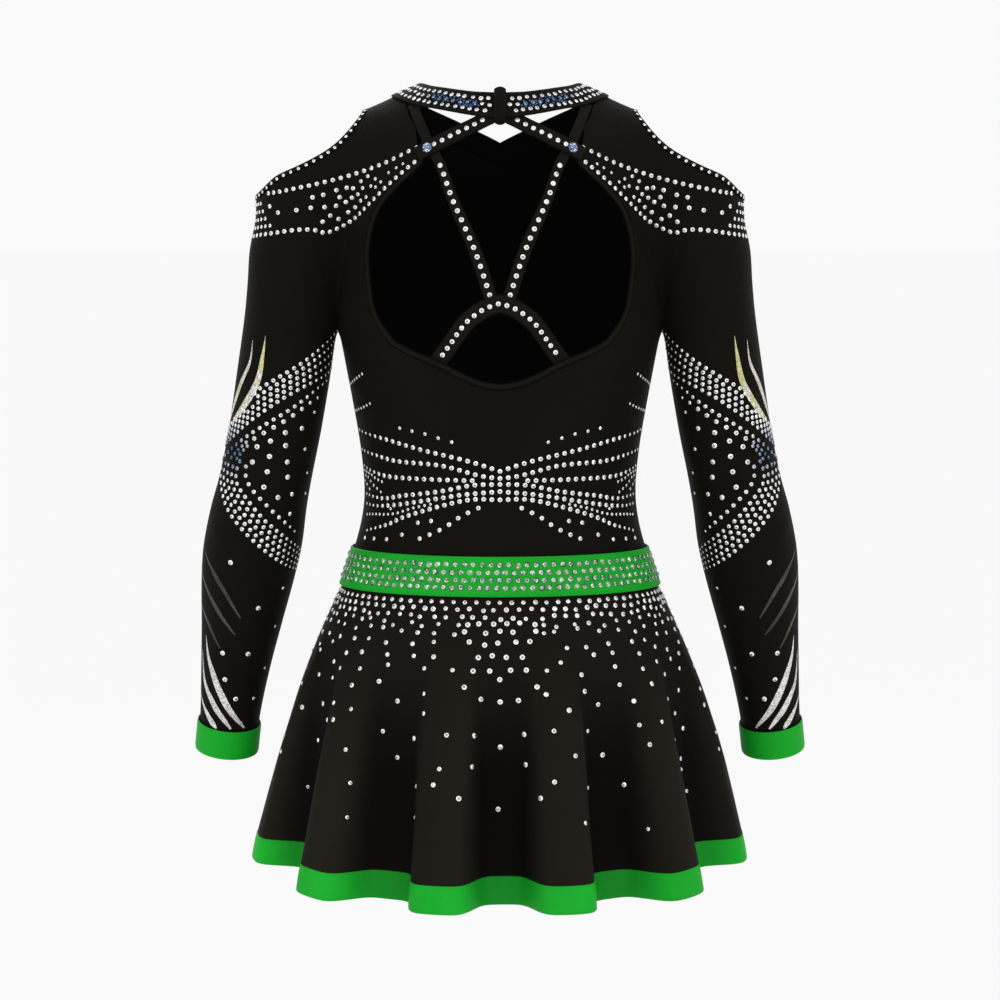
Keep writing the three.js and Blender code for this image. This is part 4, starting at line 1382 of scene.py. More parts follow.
@dataclass
class Skirt:
    """Flared skirt with soft folds, and its hem band."""

    flare: Table = Table((  # height, half width of the outline's mean line
        (-667, 195.8), (-654, 193.6), (-627, 187.5), (-600, 182.7), (-574, 178.8), (-548, 174.6),
        (-508, 167.3), (-468, 155.9), (-442, 145.3), (-429, 139.6), (-422, 135.3), (-416, 132.8),
    ))
    depth_back: float = 158
    depth_front: float = 152
    depth_lag: float = 1.3
    crests: tuple[float, ...] = (-146, -116, -85, -47.8, -15.7, 14, 48.3, 84, 115, 146, 178)
    fold_deep: float = 19
    fold_sharp: float = 2.3
    shade_sharp: float = 3.6
    glints: tuple[float, ...] = (3.77, 6.23)  # places, in folds, of the lit fold edges
    fold_start: float = -440
    fold_full: float = -640
    side_lift: float = 12
    lift_from: tuple[float, float] = (38, 92)
    lift_until: tuple[float, float] = (105, 150)
    per_fold: int = 44
    rows: int = 60
    tuck: float = 4.0
    band_light: float = 0.52

    @property
    def top(self) -> float:
        """Height of the skirt's hidden upper edge at the front."""
        return WAIST_TOP - WAIST_TALL + WAIST_LAP + SKIRT_TUCK

    def columns(self) -> Array:
        """Columns of the grid, in folds counted from the first crest."""
        return np.arange(len(self.crests) * self.per_fold) / self.per_fold

    def marks(self) -> Array:
        """Angles of the crests in radians, and of the first one a turn later."""
        return np.radians(np.array([*self.crests, self.crests[0] + 360.0]))

    def angle_at(self, fold: Array) -> Array:
        """Angle round from the back, in radians, at a place counted in folds."""
        marks = self.marks()
        f = np.mod(fold, len(self.crests))
        return np.interp(f, np.arange(len(marks)), marks)

    def fold_at(self, angle: Array) -> Array:
        """The place in folds at an angle round from the back."""
        marks = self.marks()
        a = marks[0] + np.mod(np.asarray(angle, float) - marks[0], 2 * np.pi)
        return np.interp(a, marks, np.arange(len(marks)))

    def point(self, fold: Array, share: Array) -> Array:
        """Points at places counted in folds and shares of the length below the waistband.

        An ellipse whose half width follows the flare and whose depth lags behind it, pushed out
        and in by a squared-off cosine of the place, fading in down the skirt. All of it is read at
        the level that the share would have if the hem were even, then lifted at the sides.
        """
        fold, share = np.broadcast_arrays(fold, share)
        angle = self.angle_at(fold)
        top = self.top + waist_rise(angle)
        z = top + (HEM_Z - top) * share
        half = self.flare.read(z + (self.top - top) * (1 - share))[..., 0]
        least, most = self.flare.rows[-1][1], self.flare.rows[0][1]
        grown = (half - least) / (most - half + 1e-9)
        gone = np.maximum(grown / (1 + grown), 0) ** self.depth_lag
        waist = BODY.torso.read(np.maximum(z, self.top))
        back = np.cos(angle) > 0
        start = np.where(back, waist[..., 1], waist[..., 2])
        end = np.where(back, self.depth_back, self.depth_front)
        depth = start + (end - start) * gone
        lift = self.fold_deep * self.wave(fold) * ease(self.fold_start, self.fold_full, z)
        lift = lift + self.slack(angle, z)
        height = z + self.hem_lift(angle) * share
        return np.stack([(half + lift) * np.sin(angle), (depth + lift) * np.cos(angle), height], -1)

    def wave(self, fold: Array) -> Array:
        """1 on a crest, -1 in a recess: a squared-off cosine."""
        return np.tanh(self.fold_sharp * np.cos(2 * np.pi * fold)) / np.tanh(self.fold_sharp)

    def hem_lift(self, angle: Array) -> Array:
        """How much higher the hem hangs at an angle than at the centre back."""
        around = np.degrees(np.arccos(np.cos(angle)))
        return self.side_lift * ease(*self.lift_from, around) * (1 - ease(*self.lift_until, around))

    def shade(self, fold: Array, share: Array) -> Array:
        """Painted shade and light: darker down in the folds, lighter on their crests, with a painted glint along some
        edges.
        """
        fold, share = np.broadcast_arrays(fold, share)
        deep = ease(0.12, 0.6, share)
        crest = 0.5 + 0.5 * np.tanh(self.shade_sharp * np.cos(2 * np.pi * fold))
        # One side of each fold is painted lighter than the other, as the light falls on it.
        bright = 0.82 + 0.18 * np.cos(2 * np.pi * fold + 1.1)
        full = RECESS_SHADE + (1 - RECESS_SHADE) * crest * bright
        # Painted highlights along the lit fold edges.
        for edge in self.glints:
            full = full + 0.8 * np.exp(-(((fold - edge) / 0.018) ** 2)) * ease(0.25, 0.5, share)
        return YOKE_SHADE * (1 - deep) + full * deep

    def slack(self, angle: Array, z: Array) -> Array:
        """Small uneven waves between the folds, growing toward the hem."""
        grow = ease(-430, -600, z)
        return grow * (0.9 * np.sin(7 * angle + 1.3 + z / 70) + 0.6 * np.sin(13 * angle - z / 55))

    def out(self, fold: Array, share: Array) -> Array:
        """The way out of the surface, across two small differences."""
        across = self.point(fold + 0.02, share) - self.point(fold - 0.02, share)
        below, above = np.minimum(share + 0.01, 1), np.maximum(share - 0.01, 0)
        return unit(np.cross(across, self.point(fold, below) - self.point(fold, above)))

    @property
    def band_start(self) -> float:
        """Share of the length at which the hem band begins."""
        return 1 - HEM_TALL / (self.top - HEM_Z)

    def build(self) -> tuple[Piece, Piece]:
        """The skirt's shell, run on under the band's edge, and the hem band's, dressed."""
        start = self.band_start
        tucked = (start + self.tuck / (self.top - HEM_Z)) * soft_shares(self.rows, 0.004)
        skirt = self.wall("skirt_cloth", tucked, (-CLOTH, 0.0), 0.0)
        shares = start + (1 - start) * soft_shares(9, 0.03)
        band = self.wall("hem_band_cloth", shares, (BAND_PROUD - BAND, BAND_PROUD), self.band_light)
        dress(skirt, Finish.BLACK, "black_stretch", "skirt")
        dress(band, Finish.GREEN, "green_satin", "hem_band")
        return skirt, band

    def wall(self, name: str, shares: Array, lifts: tuple[float, float], light: float) -> Piece:
        """A shell all round between shares of the length, its shade raised by `light`."""
        fold, share = self.columns()[None], shares[:, None]
        grid, out = self.point(fold, share), self.out(fold, share)
        low, high = lip_lift(grid.shape[:2], *lifts)
        tone = light + (1 - light) * self.shade(fold, share)
        return Shell(name, grid, out, low, high, True, shade=tone).build()

    def stitches(self) -> Stitches:
        """A row just below the band's upper edge."""
        fold = self.columns()
        share = self.band_start + STITCH_IN / (self.top - HEM_Z)
        out = self.out(fold, share)
        rows = Stitches("hem_band_stitches")
        rows.add(self.point(fold, share) + out * BAND_PROUD, out, True)
        return rows


SKIRT = Skirt()


@dataclass
class Waistband:
    """The doubled band round the waist and its rows of stones."""

    columns: int = 360
    stone_rows: tuple[float, ...] = (0.21, 0.405, 0.595, 0.775)  # shares of the band's height
    stone_pitch: float = 7.3
    stone_size: float = 4.1
    edge: float = 1.6

    def grid(self, shares: Array) -> Array:
        """Rings at shares of the band's height."""
        return np.stack([waist_points(round_turns(self.columns), WAIST_TALL * s) for s in shares])

    def build(self) -> Piece:
        """The band's shell, dressed."""
        grid = self.grid(soft_shares(12, 0.02))
        lifts = lip_lift(grid.shape[:2], LAP, LAP + BAND)
        band = on_figure("waistband_cloth", grid, lifts, shade=WAIST_SHADE)
        return dress(band, Finish.GREEN, "green_satin", "waistband")

    def stones(self) -> Stones:
        """Four rows all round."""
        # A wide foot with a dark rim paints a shadow ring round each stone; crowns run from dark to bright, painted
        # reflections.
        made = Stones("waistband_stones", 11, (0.0, 1.0), 0.0, 0.80)
        rng = np.random.default_rng(17)
        for k, share in enumerate(self.stone_rows):
            ring = np.roll(self.grid(np.array([share]))[0], 2 * (k % 2), 0)
            spots = even_spots(ring, self.stone_pitch, loop=True)
            spots = BODY.settle(spots + rng.normal(0, 0.22, spots.shape))
            size = self.stone_size * rng.uniform(0.9, 1.04, len(spots))
            made.set_on(spots, LAP + BAND, size, rng.uniform(0, 0.6, len(spots)))
        return made

    def stitches(self) -> Stitches:
        """A row inside each edge."""
        rows = Stitches("waistband_stitches")
        for ring in self.grid(np.array([self.edge, WAIST_TALL - self.edge]) / WAIST_TALL):
            rows.set_on(ring, LAP + BAND)
        return rows


@dataclass
class Neckband:
    """The band round the neck, V-shaped at the front, with three rows of stones."""

    upper: Guide = (
        (0, 61, -3), (21.5, 57.4, -1.8), (41.5, 46.3, 1.4), (58.5, 27.7, 5.2), (67.6, 0, 8),
        (66.3, -39.7, -9), (33.1, -67.6, -25.7), (0, -79.9, -42),
    )
    lower: Guide = (
        (0, 74.5, -23.2), (18.1, 72.6, -21.7), (41.2, 64.7, -17.9), (65.5, 48.4, -13.1),
        (79.3, 34.4, -8.2), (89.9, 14, -4.5), (91, -6, -4.5), (84, -28, -15), (62, -58, -34),
        (34, -77, -50), (0, -88.5, -64),
    )
    steps: int = 120
    stone_rows: tuple[tuple[float, float, float], ...] = (  # share down, first place, how blue
        (0.29, 9.5, 0.3), (0.54, 8.0, 1.25), (0.79, 12.5, 0.3),
    )
    stone_pitch: float = 6.3
    stone_size: float = 3.8
    small_rows: tuple[float, ...] = (0.41, 0.48, 0.60, 0.67)
    small_size: float = 1.9

    def edges(self) -> tuple[Array, Array]:
        """The upper and lower edge, from the centre back to the centre front."""
        return seam(np.array(self.upper), self.steps), seam(np.array(self.lower), self.steps)

    def build(self) -> Piece:
        """The band's shell, dressed."""
        upper, lower = self.edges()
        half = between(upper, lower, soft_shares(12, 0.03))
        grid = np.stack([ring_of(row) for row in half])
        band = on_figure("neckband_cloth", grid, lip_lift(grid.shape[:2], SLIM_LAP, SLIM_LAP + SLIM_BAND))
        return dress(band, Finish.BLACK, "black_stretch", "neckband")

    def stones(self) -> Stones:
        """Three rows all round but for the loop at the centre back; blue near the back."""
        made = Stones("neckband_stones", 12)
        upper, lower = self.edges()
        rng = np.random.default_rng(18)
        for share, start, blue in self.stone_rows:
            line = between(upper, lower, np.array([share]))[0]
            for place in SIDES.values():
                spots = even_spots(line, self.stone_pitch, start)
                spots = BODY.settle(spots + rng.normal(0, 0.35, spots.shape))
                near = ease(12, 22, spots[:, 0]) * (1 - ease(52, 68, spots[:, 0]))
                tint = near * (spots[:, 1] > 0) * blue
                size = self.stone_size * rng.uniform(0.88, 1.05, len(spots))
                made.set_on(spots, SLIM_LAP + SLIM_BAND, size, tint, (place,))
        for share in self.small_rows:
            line = between(upper, lower, np.array([share]))[0]
            spots = even_spots(line, 3.0)
            spots = spots[(spots[:, 0] > 15) & (spots[:, 0] < 54) & (spots[:, 1] > 0)]
            spots = BODY.settle(spots + rng.normal(0, 0.5, spots.shape))
            made.set_on(spots, SLIM_LAP + SLIM_BAND, self.small_size, 1.6, tuple(SIDES.values()))
        return made

    def stitches(self) -> Stitches:
        """A row inside each edge."""
        rows = Stitches("neckband_stitches")
        upper, lower = self.edges()
        for half in between(upper, lower, np.array([0.06, 0.93])):
            rows.set_on(ring_of(half), SLIM_LAP + SLIM_BAND)
        return rows


@dataclass
class Ribbon:
    """A strap along a line: half width and lift vary with the share of its length."""

    name: str
    line: Array
    half: Callable[[Array], Array]
    lift: Callable[[Array], Array]
    least_x: float = -1e9

    def rows(self, across: int = 9) -> Array:
        """Lines side by side, square to the middle line, settled on the figure."""
        t = np.linspace(0, 1, len(self.line))
        along = unit(np.gradient(self.line, axis=0))
        side = unit(np.cross(along, BODY.outward(self.line)))
        offset = np.linspace(-1, 1, across)[:, None, None] * self.half(t)[None, :, None]
        grid = self.line[None] + side[None] * offset
        grid[..., 0] = np.maximum(grid[..., 0], self.least_x)
        return BODY.settle(grid)

    def build(self, place: Place, *nodes: str) -> Piece:
        """The strap's shell with rolled long edges, dressed."""
        grid = self.rows()
        t = np.linspace(0, 1, len(self.line))
        lift = np.broadcast_to(self.lift(t), grid.shape[:2])
        pinch = np.zeros(grid.shape[:2])
        pinch[[0, -1]] = 0.35
        lifts = lift + pinch, lift + STRAP - pinch
        # The rolled long edges get painted shade: their scale is 0.4 below the strap's.
        strap = on_figure(self.name, grid, lifts, False, place, shade=STRAP_SHADE - 0.4 * (pinch > 0))
        return dress(strap, Finish.BLACK, "black_stretch", *nodes)

    def spots(self, start: float, end: float, pitch: float) -> tuple[Array, Array]:
        """Stone places on top of the strap.

        Args:
            start: share of the length at the first stone.
            end: share that no stone reaches.
            pitch: distance from stone to stone.

        Returns:
            The places, and the way out at each.
        """
        run = lengths_along(self.line)
        want = np.arange(start * run[-1], end * run[-1], pitch)
        places = BODY.settle(at_lengths(self.line, want))
        out = BODY.outward(places)
        return places + out * (self.lift(want / run[-1]) + STRAP)[:, None], out


class Straps:
    """The straps across the keyhole: two diagonals, two long crossed ones and an arch."""

    def __init__(self) -> None:
        """Lays the straps' middle lines."""
        self.diagonal = Ribbon(
            "diagonal_strap",
            seam([(3, 73.5, -19), (12.3, 74, -23.4), (27.9, 75.2, -31.5), (43.6, 74.5, -40.1),
                  (58.5, 71.6, -47.4), (67, 69, -53)], 40),
            lambda t: np.full_like(t, 6.5),
            lambda t: -0.5 + 2.7 * ease(0.25, 0.6, t),
            4.5,
        )
        self.cross = Ribbon(
            "cross_strap",
            seam([(74.5, 40, -8.5), (71.9, 44.2, -12.6), (60.1, 68.1, -40), (48.3, 79.3, -62),
                  (38.5, 87.7, -89), (20.5, 95.5, -130), (6.5, 97, -172)], 80),
            lambda t: 4.2 + 1.3 * ease(0.3, 0.9, t),
            lambda t: 0.0 * t,
            0.2,
        )
        half = seam([(56, 83.5, -228), (44.5, 88.7, -212), (38.4, 90.9, -203.6), (32.5, 92.7, -195.3),
                     (25.5, 94.4, -187), (13.1, 96, -177.9), (0, 96.7, -172.9)], 44)
        self.arch = Ribbon(
            "arch_strap_cloth",
            both_sides(half),
            lambda t: np.full_like(t, 7.4),
            lambda t: -2.5 + 4.3 * ease(0.12, 0.3, np.minimum(t, 1 - t)),
        )

    def build(self) -> dict[str, Piece]:
        """All five straps, each by the name of its solid."""
        made = {"arch_strap": self.arch.build(as_is, "arch_strap")}
        for side, place in SIDES.items():
            for ribbon in (self.diagonal, self.cross):
                label = f"{ribbon.name}_{side}"
                made[label] = replace(ribbon, name=f"{label}_cloth").build(place, label)
        return made

    def stones(self) -> dict[str, Stones]:
        """A row down each strap; the crossed ones are bare above the diagonals."""
        made = {}
        for label, ribbon, place, seed, start, end, pitch, size in (
            ("diagonal_strap_left", self.diagonal, as_is, 13, 0.17, 0.84, 7.3, 4.0),
            ("cross_strap_left", self.cross, as_is, 14, 0.37, 0.985, 8.2, 4.3),
            ("diagonal_strap_right", self.diagonal, mirrored, 13, 0.17, 0.84, 7.3, 4.0),
            ("cross_strap_right", self.cross, mirrored, 14, 0.37, 0.985, 8.2, 4.3),
            ("arch_strap", self.arch, as_is, 15, 0.09, 0.92, 7.3, 4.1),
        ):
            spots, out = ribbon.spots(start, end, pitch)
            made[label] = Stones(f"{label}_stones", seed)
            made[label].add(place(spots), place(out), size)
        return made


@dataclass
class Keeper:
    """The loop of cloth round the neckband at the centre back."""

    half: float = 5.0
    wall: float = 1.2
    clear: float = 0.7
    crown: float = 2.3

    def build(self, band: Neckband) -> Piece:
        """A smooth closed section round the band, carried across its width."""
        upper, lower = band.edges()
        middle = between(upper, lower, np.array([0.5]))[0][0]
        leg = SLIM_LAP + SLIM_BAND + self.clear
        up = unit(upper[0] - lower[0])
        corners = [
            (upper[0], 0.0, self.clear), (upper[0], leg / 2, self.clear + 0.4),
            (upper[0], leg, self.clear), (middle, leg + 0.3, 0), (lower[0], leg, -self.clear),
            (lower[0], leg / 2, -self.clear - 0.4), (lower[0], 0.0, -self.clear),
            (middle, 0.0, 0),
        ]
        section = np.array([p + BODY.outward(p) * o + up * u for p, o, u in corners])
        q = np.vstack([section[-1:], section, section[:2]])
        t = np.arange(len(section) * 6) / 6
        i, s = t.astype(int), (t % 1)[:, None]
        ring = hermite(q[i + 1], q[i + 2], (q[i + 2] - q[i]) / 2, (q[i + 3] - q[i + 1]) / 2, s)
        tangent = np.roll(ring, -1, 0) - np.roll(ring, 1, 0)
        out = unit(np.cross(tangent, np.array([1.0, 0, 0])))
        out = out * np.sign((out * (ring - ring.mean(0))).sum(-1, keepdims=True))
        x = self.half * np.sin(np.linspace(-QUARTER, QUARTER, 11))
        bulge = self.crown * (1 - (x / self.half) ** 2)
        grid = ring[None] + out[None] * bulge[:, None, None]
        grid[..., 0] = x[:, None]
        outs = np.broadcast_to(out, grid.shape)
        low, high = lip_lift(grid.shape[:2], 0.0, self.wall)
        loop = Shell("neck_keeper_cloth", grid, outs, low, high, True).build()
        return dress(loop, Finish.BLACK, "black_stretch", "neck_keeper")


@dataclass
class Gem:
    """The large stone where each diagonal strap meets the back: a cut dome in a narrow collar."""

    side: int
    radius: float = 4.2
    tall: float = 3.0
    lift: float = STRAP + 2.1 + 0.3
    at: tuple[float, float, float] = (58.5, 71.6, -47.4)

    def build(self) -> Piece:
        """Rings of 16 corners, each turned by half a step, closed by a table and a base."""
        label = "left" if self.side > 0 else "right"
        base = BODY.settle(np.array([self.at], float))[0]
        out = BODY.outward(base)
        if self.side < 0:
            base, out = mirrored(base), mirrored(out)
        right = unit(np.cross([0, 0, 1.0], out))
        up = np.cross(out, right)
        sides = 16
        profile = ((0.96, 0.0), (1.0, 0.12), (1.0, 0.30), (0.86, 0.58), (0.62, 0.86), (0.36, 1.0))
        rings = [
            base + out * (self.lift + self.tall * h)
            + self.radius * r * spokes(right, up, round_turns(sides) + k * np.pi / sides)
            for k, (r, h) in enumerate(profile)
        ]
        corners = np.vstack(rings)
        rng = np.random.default_rng(31)
        quads = grid_quads(len(profile), sides, True)
        faces = quads[:, [0, 1, 3, 1, 2, 3]].reshape(-1, 3).tolist()
        table, back = 0.75, 0.1
        # `shine` paints reflections: facets of random brightness, the brightest left white as painted highlights, the
        # rest washed blue.
        shine = np.append(rng.uniform(0.2, 1.0, len(faces)), [table, back])
        top = len(corners) - sides
        faces += [list(range(top, top + sides)), list(range(sides))[::-1]]
        tint = np.where(shine > 0.84, 0.0, rng.uniform(0.75, 1.0, len(faces)))
        gem = make_object(
            f"gem_{label}_cut", corners, faces,
            marks={"shine": shine, "tint": tint}, smooth=False,
        )
        return dress(gem, Finish.SAPPHIRE, "crystal", f"gem_{label}")


# ---- the stones' layout ----
@dataclass
class BodyStones:
    """Stones on the back panel: a fan over the waist and a band over each shoulder."""

    fan: tuple[Guide, ...] = (
        ((0, 84, -313), (22, 83, -306), (43, 79, -301), (85, 61, -292), (104, 45, -288), (119, 18, -284)),
        ((0, 84, -319), (16, 83, -317), (50, 77, -309), (88, 57, -307), (105, 41, -304), (118, 17, -301)),
        ((23, 82, -321), (43, 78, -321), (69, 68, -321), (89, 55, -321), (101, 43, -320), (116, 17, -315)),
        ((0, 83, -324), (23, 82, -325), (51, 75, -331), (81, 60, -336), (99, 45, -340), (114, 19, -339)),
        ((0, 83, -330), (30, 80, -333), (57, 72, -338), (86, 57, -344), (104, 39, -347), (114, 21, -347)),
        ((0, 83, -337), (24, 81, -337), (52, 74, -344), (80, 61, -354), (96, 50, -362), (114, 29, -369)),
    )
    fan_small: tuple[Guide, ...] = (
        ((115, 17, -319), (110, 30, -321), (106, 37, -324), (100, 44, -326)),
        ((114, 19, -323), (111, 27, -325), (109, 31, -329), (105, 37, -332), (101, 42, -335)),
        ((115, 14, -328), (113, 21, -331), (111, 26, -334)),
        ((113, 24, -356), (104, 40, -354), (95, 50, -353), (86, 57, -351), (73, 65, -346), (58, 72, -342)),
        ((92, 52, -348), (84, 58, -346), (76, 63, -341)),
        ((110, 45, -260), (116, 34, -264), (124, 11, -269)),
        ((116, 43, -235), (122, 32, -240), (128, 15, -246)),
    )
    fan_loose: tuple[Guide, ...] = (
        ((18, 82, -344), (32, 80, -351), (45, 78, -360), (56, 75, -366), (67, 71, -371)),
        ((84, 64, -279), (73, 70, -281), (62, 75, -283), (40, 81, -289)),
    )
    upper: Guide = (
        (69, 68, -46), (94, 57, -58), (122, 47, -68), (148, 48, -75), (181, 43, -82), (199, 25, -85),
        (203, 6, -87),
    )
    lower: Guide = (
        (65, 72, -54), (85, 66, -70), (106, 56, -89), (125, 42, -107), (136, 40, -113.5),
        (146, 43, -117), (152, 45, -115), (166, 46, -114), (190, 40, -117), (207, 20, -120),
        (211, 0, -122),
    )

    scatter: tuple[tuple[float, float], ...] = (
        (57, -356), (68, -358), (82, -369), (95, -374), (106, -375), (114, -376),
    )

    def on_cloth(self, points: Array) -> tuple[Array, Array]:
        """Stone places on top of the cloth, and their way out."""
        places = BODY.settle(points)
        out = BODY.outward(places)
        lift = CLOTH + np.where(np.abs(places[:, 0]) < self.seam_x(places), body_relief(places), 0)
        return places + out * lift[:, None], out

    def seam_x(self, places: Array) -> Array:
        """How far out the back panel reaches at each height, roughly the armhole's line."""
        return np.interp(places[:, 2], [-190.0, -163, -121, -88], [140.0, 145.5, 150.4, 152])

    def build_rows(self) -> dict[str, Stones]:
        """Rows and scatter on the back panel, and what runs on to each sleeve."""
        back = Stones("back_bodice_stones", 21)
        sleeves = {
            "left": Stones("sleeve_left_stones", 22), "right": Stones("sleeve_right_stones", 23),
        }
        for guide in self.fan:
            spots = even_spots(guide_line(guide), 6.9)
            grow = np.linspace(0, 1, len(spots))
            self._both(back, spots, 4.0 - 1.4 * ease(0.72, 0.92, grow))
        for guide in self.fan_small:
            self._both(back, even_spots(guide_line(guide), 5.6), 2.5)
        for guide, pitch, size in zip(self.fan_loose, (9.0, 11.5), (3.8, 2.9)):
            self._both(back, even_spots(guide_line(guide), pitch), size)
        self._both(back, behind(*np.array(self.scatter, float).T), 3.6)
        self._shoulder(back, sleeves)
        return {"back": back, **sleeves}

    def _both(self, stones: Stones, points: Array, size: Array | float) -> None:
        """Adds points and their mirror images."""
        places, out = self.on_cloth(points)
        stones.add(places, out, size)
        stones.add(mirrored(places), mirrored(out), size)

    def _shoulder(self, back: Stones, sleeves: dict[str, Stones]) -> None:
        """The band from each gem to the sleeve's outside: two edge rows, side rows and scatter."""
        upper, lower = guide_line(self.upper, 160), guide_line(self.lower, 160)
        groups = [(graded_spots(upper, 7.6, 5.8), 3.7), (graded_spots(lower, 6.9, 6.1), 3.8)]
        a = at_lengths(upper, np.linspace(0, lengths_along(upper)[-1], 80))
        b = at_lengths(lower, np.linspace(0, lengths_along(lower)[-1], 80))
        for share, first in ((0.22, 70), (0.42, 68), (0.61, 66), (0.80, 63)):
            line = BODY.settle(a + (b - a) * share)
            groups.append((even_spots(line[first:], 5.6), 3.3))
        rng = np.random.default_rng(5)
        taken = np.vstack([points for points, _ in groups])
        for k, share in enumerate((0.5, 0.27, 0.75, 0.14, 0.62, 0.38, 0.86)):
            line = BODY.settle(a + (b - a) * share)
            run = lengths_along(line)
            far = 7.0 + 3.0 * (k % 2)
            while far < 0.88 * run[-1]:
                t = far / run[-1]
                spot = at_lengths(line, np.array([far])) + rng.normal(0, 1.7, 3)
                room = 6.4 + 4.0 * ease(0.42, 0.7, t)
                if np.linalg.norm(taken - spot, axis=-1).min() > room:
                    taken = np.vstack([taken, spot])
                    groups.append((BODY.settle(spot), 2.4 + 1.4 * ease(0.12, 0.5, t)))
                far += 2.2
        bound = BODY.settle(SEAMS.cut_edge * 0.3 + SEAMS.cut_bound * 0.7)
        for points, size in groups:
            clear = np.linalg.norm(points[:, None] - bound[None], axis=-1).min(1) > 3.1
            places, out = self.on_cloth(points[clear])
            size = np.broadcast_to(size, len(points))[clear]
            on_sleeve = places[:, 0] > self.seam_x(places)
            for side, place in SIDES.items():
                back.add(place(places[~on_sleeve]), place(out[~on_sleeve]), size[~on_sleeve])
                sleeves[side].add(place(places[on_sleeve]), place(out[on_sleeve]), size[on_sleeve])


@dataclass
class SleeveStones:
    """Bands and scatter of stones down the sleeves."""

    high_first: Guide = (
        (139, 10, -200), (150, 32, -213), (167, 44, -226), (190, 48, -240), (203, 45, -248),
        (215, 39, -262), (227, 25, -277), (231, 12, -284),
    )
    high_last: Guide = (
        (145, 12, -233), (162, 40, -244), (182, 49, -255), (197, 48, -265), (216, 41, -279),
        (229, 27, -292), (235, 10, -298),
    )
    single: Guide = (
        (149, 20, -242), (157, 35, -250), (177, 47, -265), (197, 49, -277), (219, 40, -292),
        (232, 26, -304), (237, 10, -310),
    )
    sparse: Guide = ((154, 31, -256), (162, 39, -261), (179, 48, -273), (193, 50, -281), (207, 48, -289))
    low_first: Guide = (
        (219, 42, -309), (223, 42, -318), (222, 44, -328), (212, 49, -342), (200, 49, -357),
        (184, 38, -373), (170, 13, -388),
    )
    low_last: Guide = (
        (238, 20, -317), (237, 27, -329), (230, 42, -350), (217, 48, -367), (200, 44, -384),
        (184, 29, -398), (176, 8, -405),
    )
    lone: Guide = ((214, 46, -313), (214, 47, -322), (209, 49, -332), (192, 47, -351), (175, 29, -370))
    loose: tuple[tuple[float, float], ...] = (
        (158, -268), (168, -281), (181, -284), (193, -291), (204, -296), (166, -299), (181, -295),
        (194, -304), (208, -309), (180, -309), (196, -317), (165, -320), (180, -322), (199, -330),
        (177, -337), (188, -339), (167, -338), (179, -354), (228, -395), (187, -420), (207, -436),
        (195, -455), (238, -477), (217, -478), (205, -493), (237, -501), (229, -519), (215, -520),
    )

    def add_to(self, stones: dict[str, Stones]) -> None:
        """Adds the bands to both sleeves, on the back and, mirrored, on the front."""
        groups: list[tuple[Array, float]] = []
        for first, last, pitch in (
            (self.high_first, self.high_last, 6.5), (self.low_first, self.low_last, 6.8),
        ):
            for k, line in enumerate(family(first, last, 5)):
                groups.append((even_spots(line, pitch, 3.2 * (k % 2)), 3.5))
        groups.append((even_spots(guide_line(self.single), 6.8), 3.4))
        groups.append((even_spots(guide_line(self.sparse), 9.4), 3.9))
        groups.append((even_spots(guide_line(self.lone), 8.0), 3.5))
        for line in family(self.single[3:], self.low_first[:4], 6)[1:5]:
            groups.append((even_spots(line[10:50], 5.2), 3.0))
        for x, z in self.loose:
            groups.append((behind(np.array([float(x)]), np.array([float(z)])), 4.4))
        for turn in (1.0, -1.0):
            for points, size in groups:
                places = points.copy()
                if turn < 0:
                    centre = BODY.arm.read(places[:, 2])[:, 1]
                    places[:, 1] = 2 * centre - places[:, 1]
                places = BODY.settle(places)
                out = BODY.outward(places)
                places = places + out * (CLOTH + sleeve_relief(places))[:, None]
                middle, wide = np.moveaxis(BODY.arm.read(places[:, 2])[:, [0, 2]], -1, 0)
                sizes = size * (0.62 + 0.38 * ease(3, 17, places[:, 0] - (middle - wide)))
                glow = np.exp(-(((places[:, 2] + 303) / 17) ** 2) - (((places[:, 0] - 226) / 14) ** 2))
                for side, place in SIDES.items():
                    stones[side].add(place(places), place(out), sizes, 1.4 * glow)


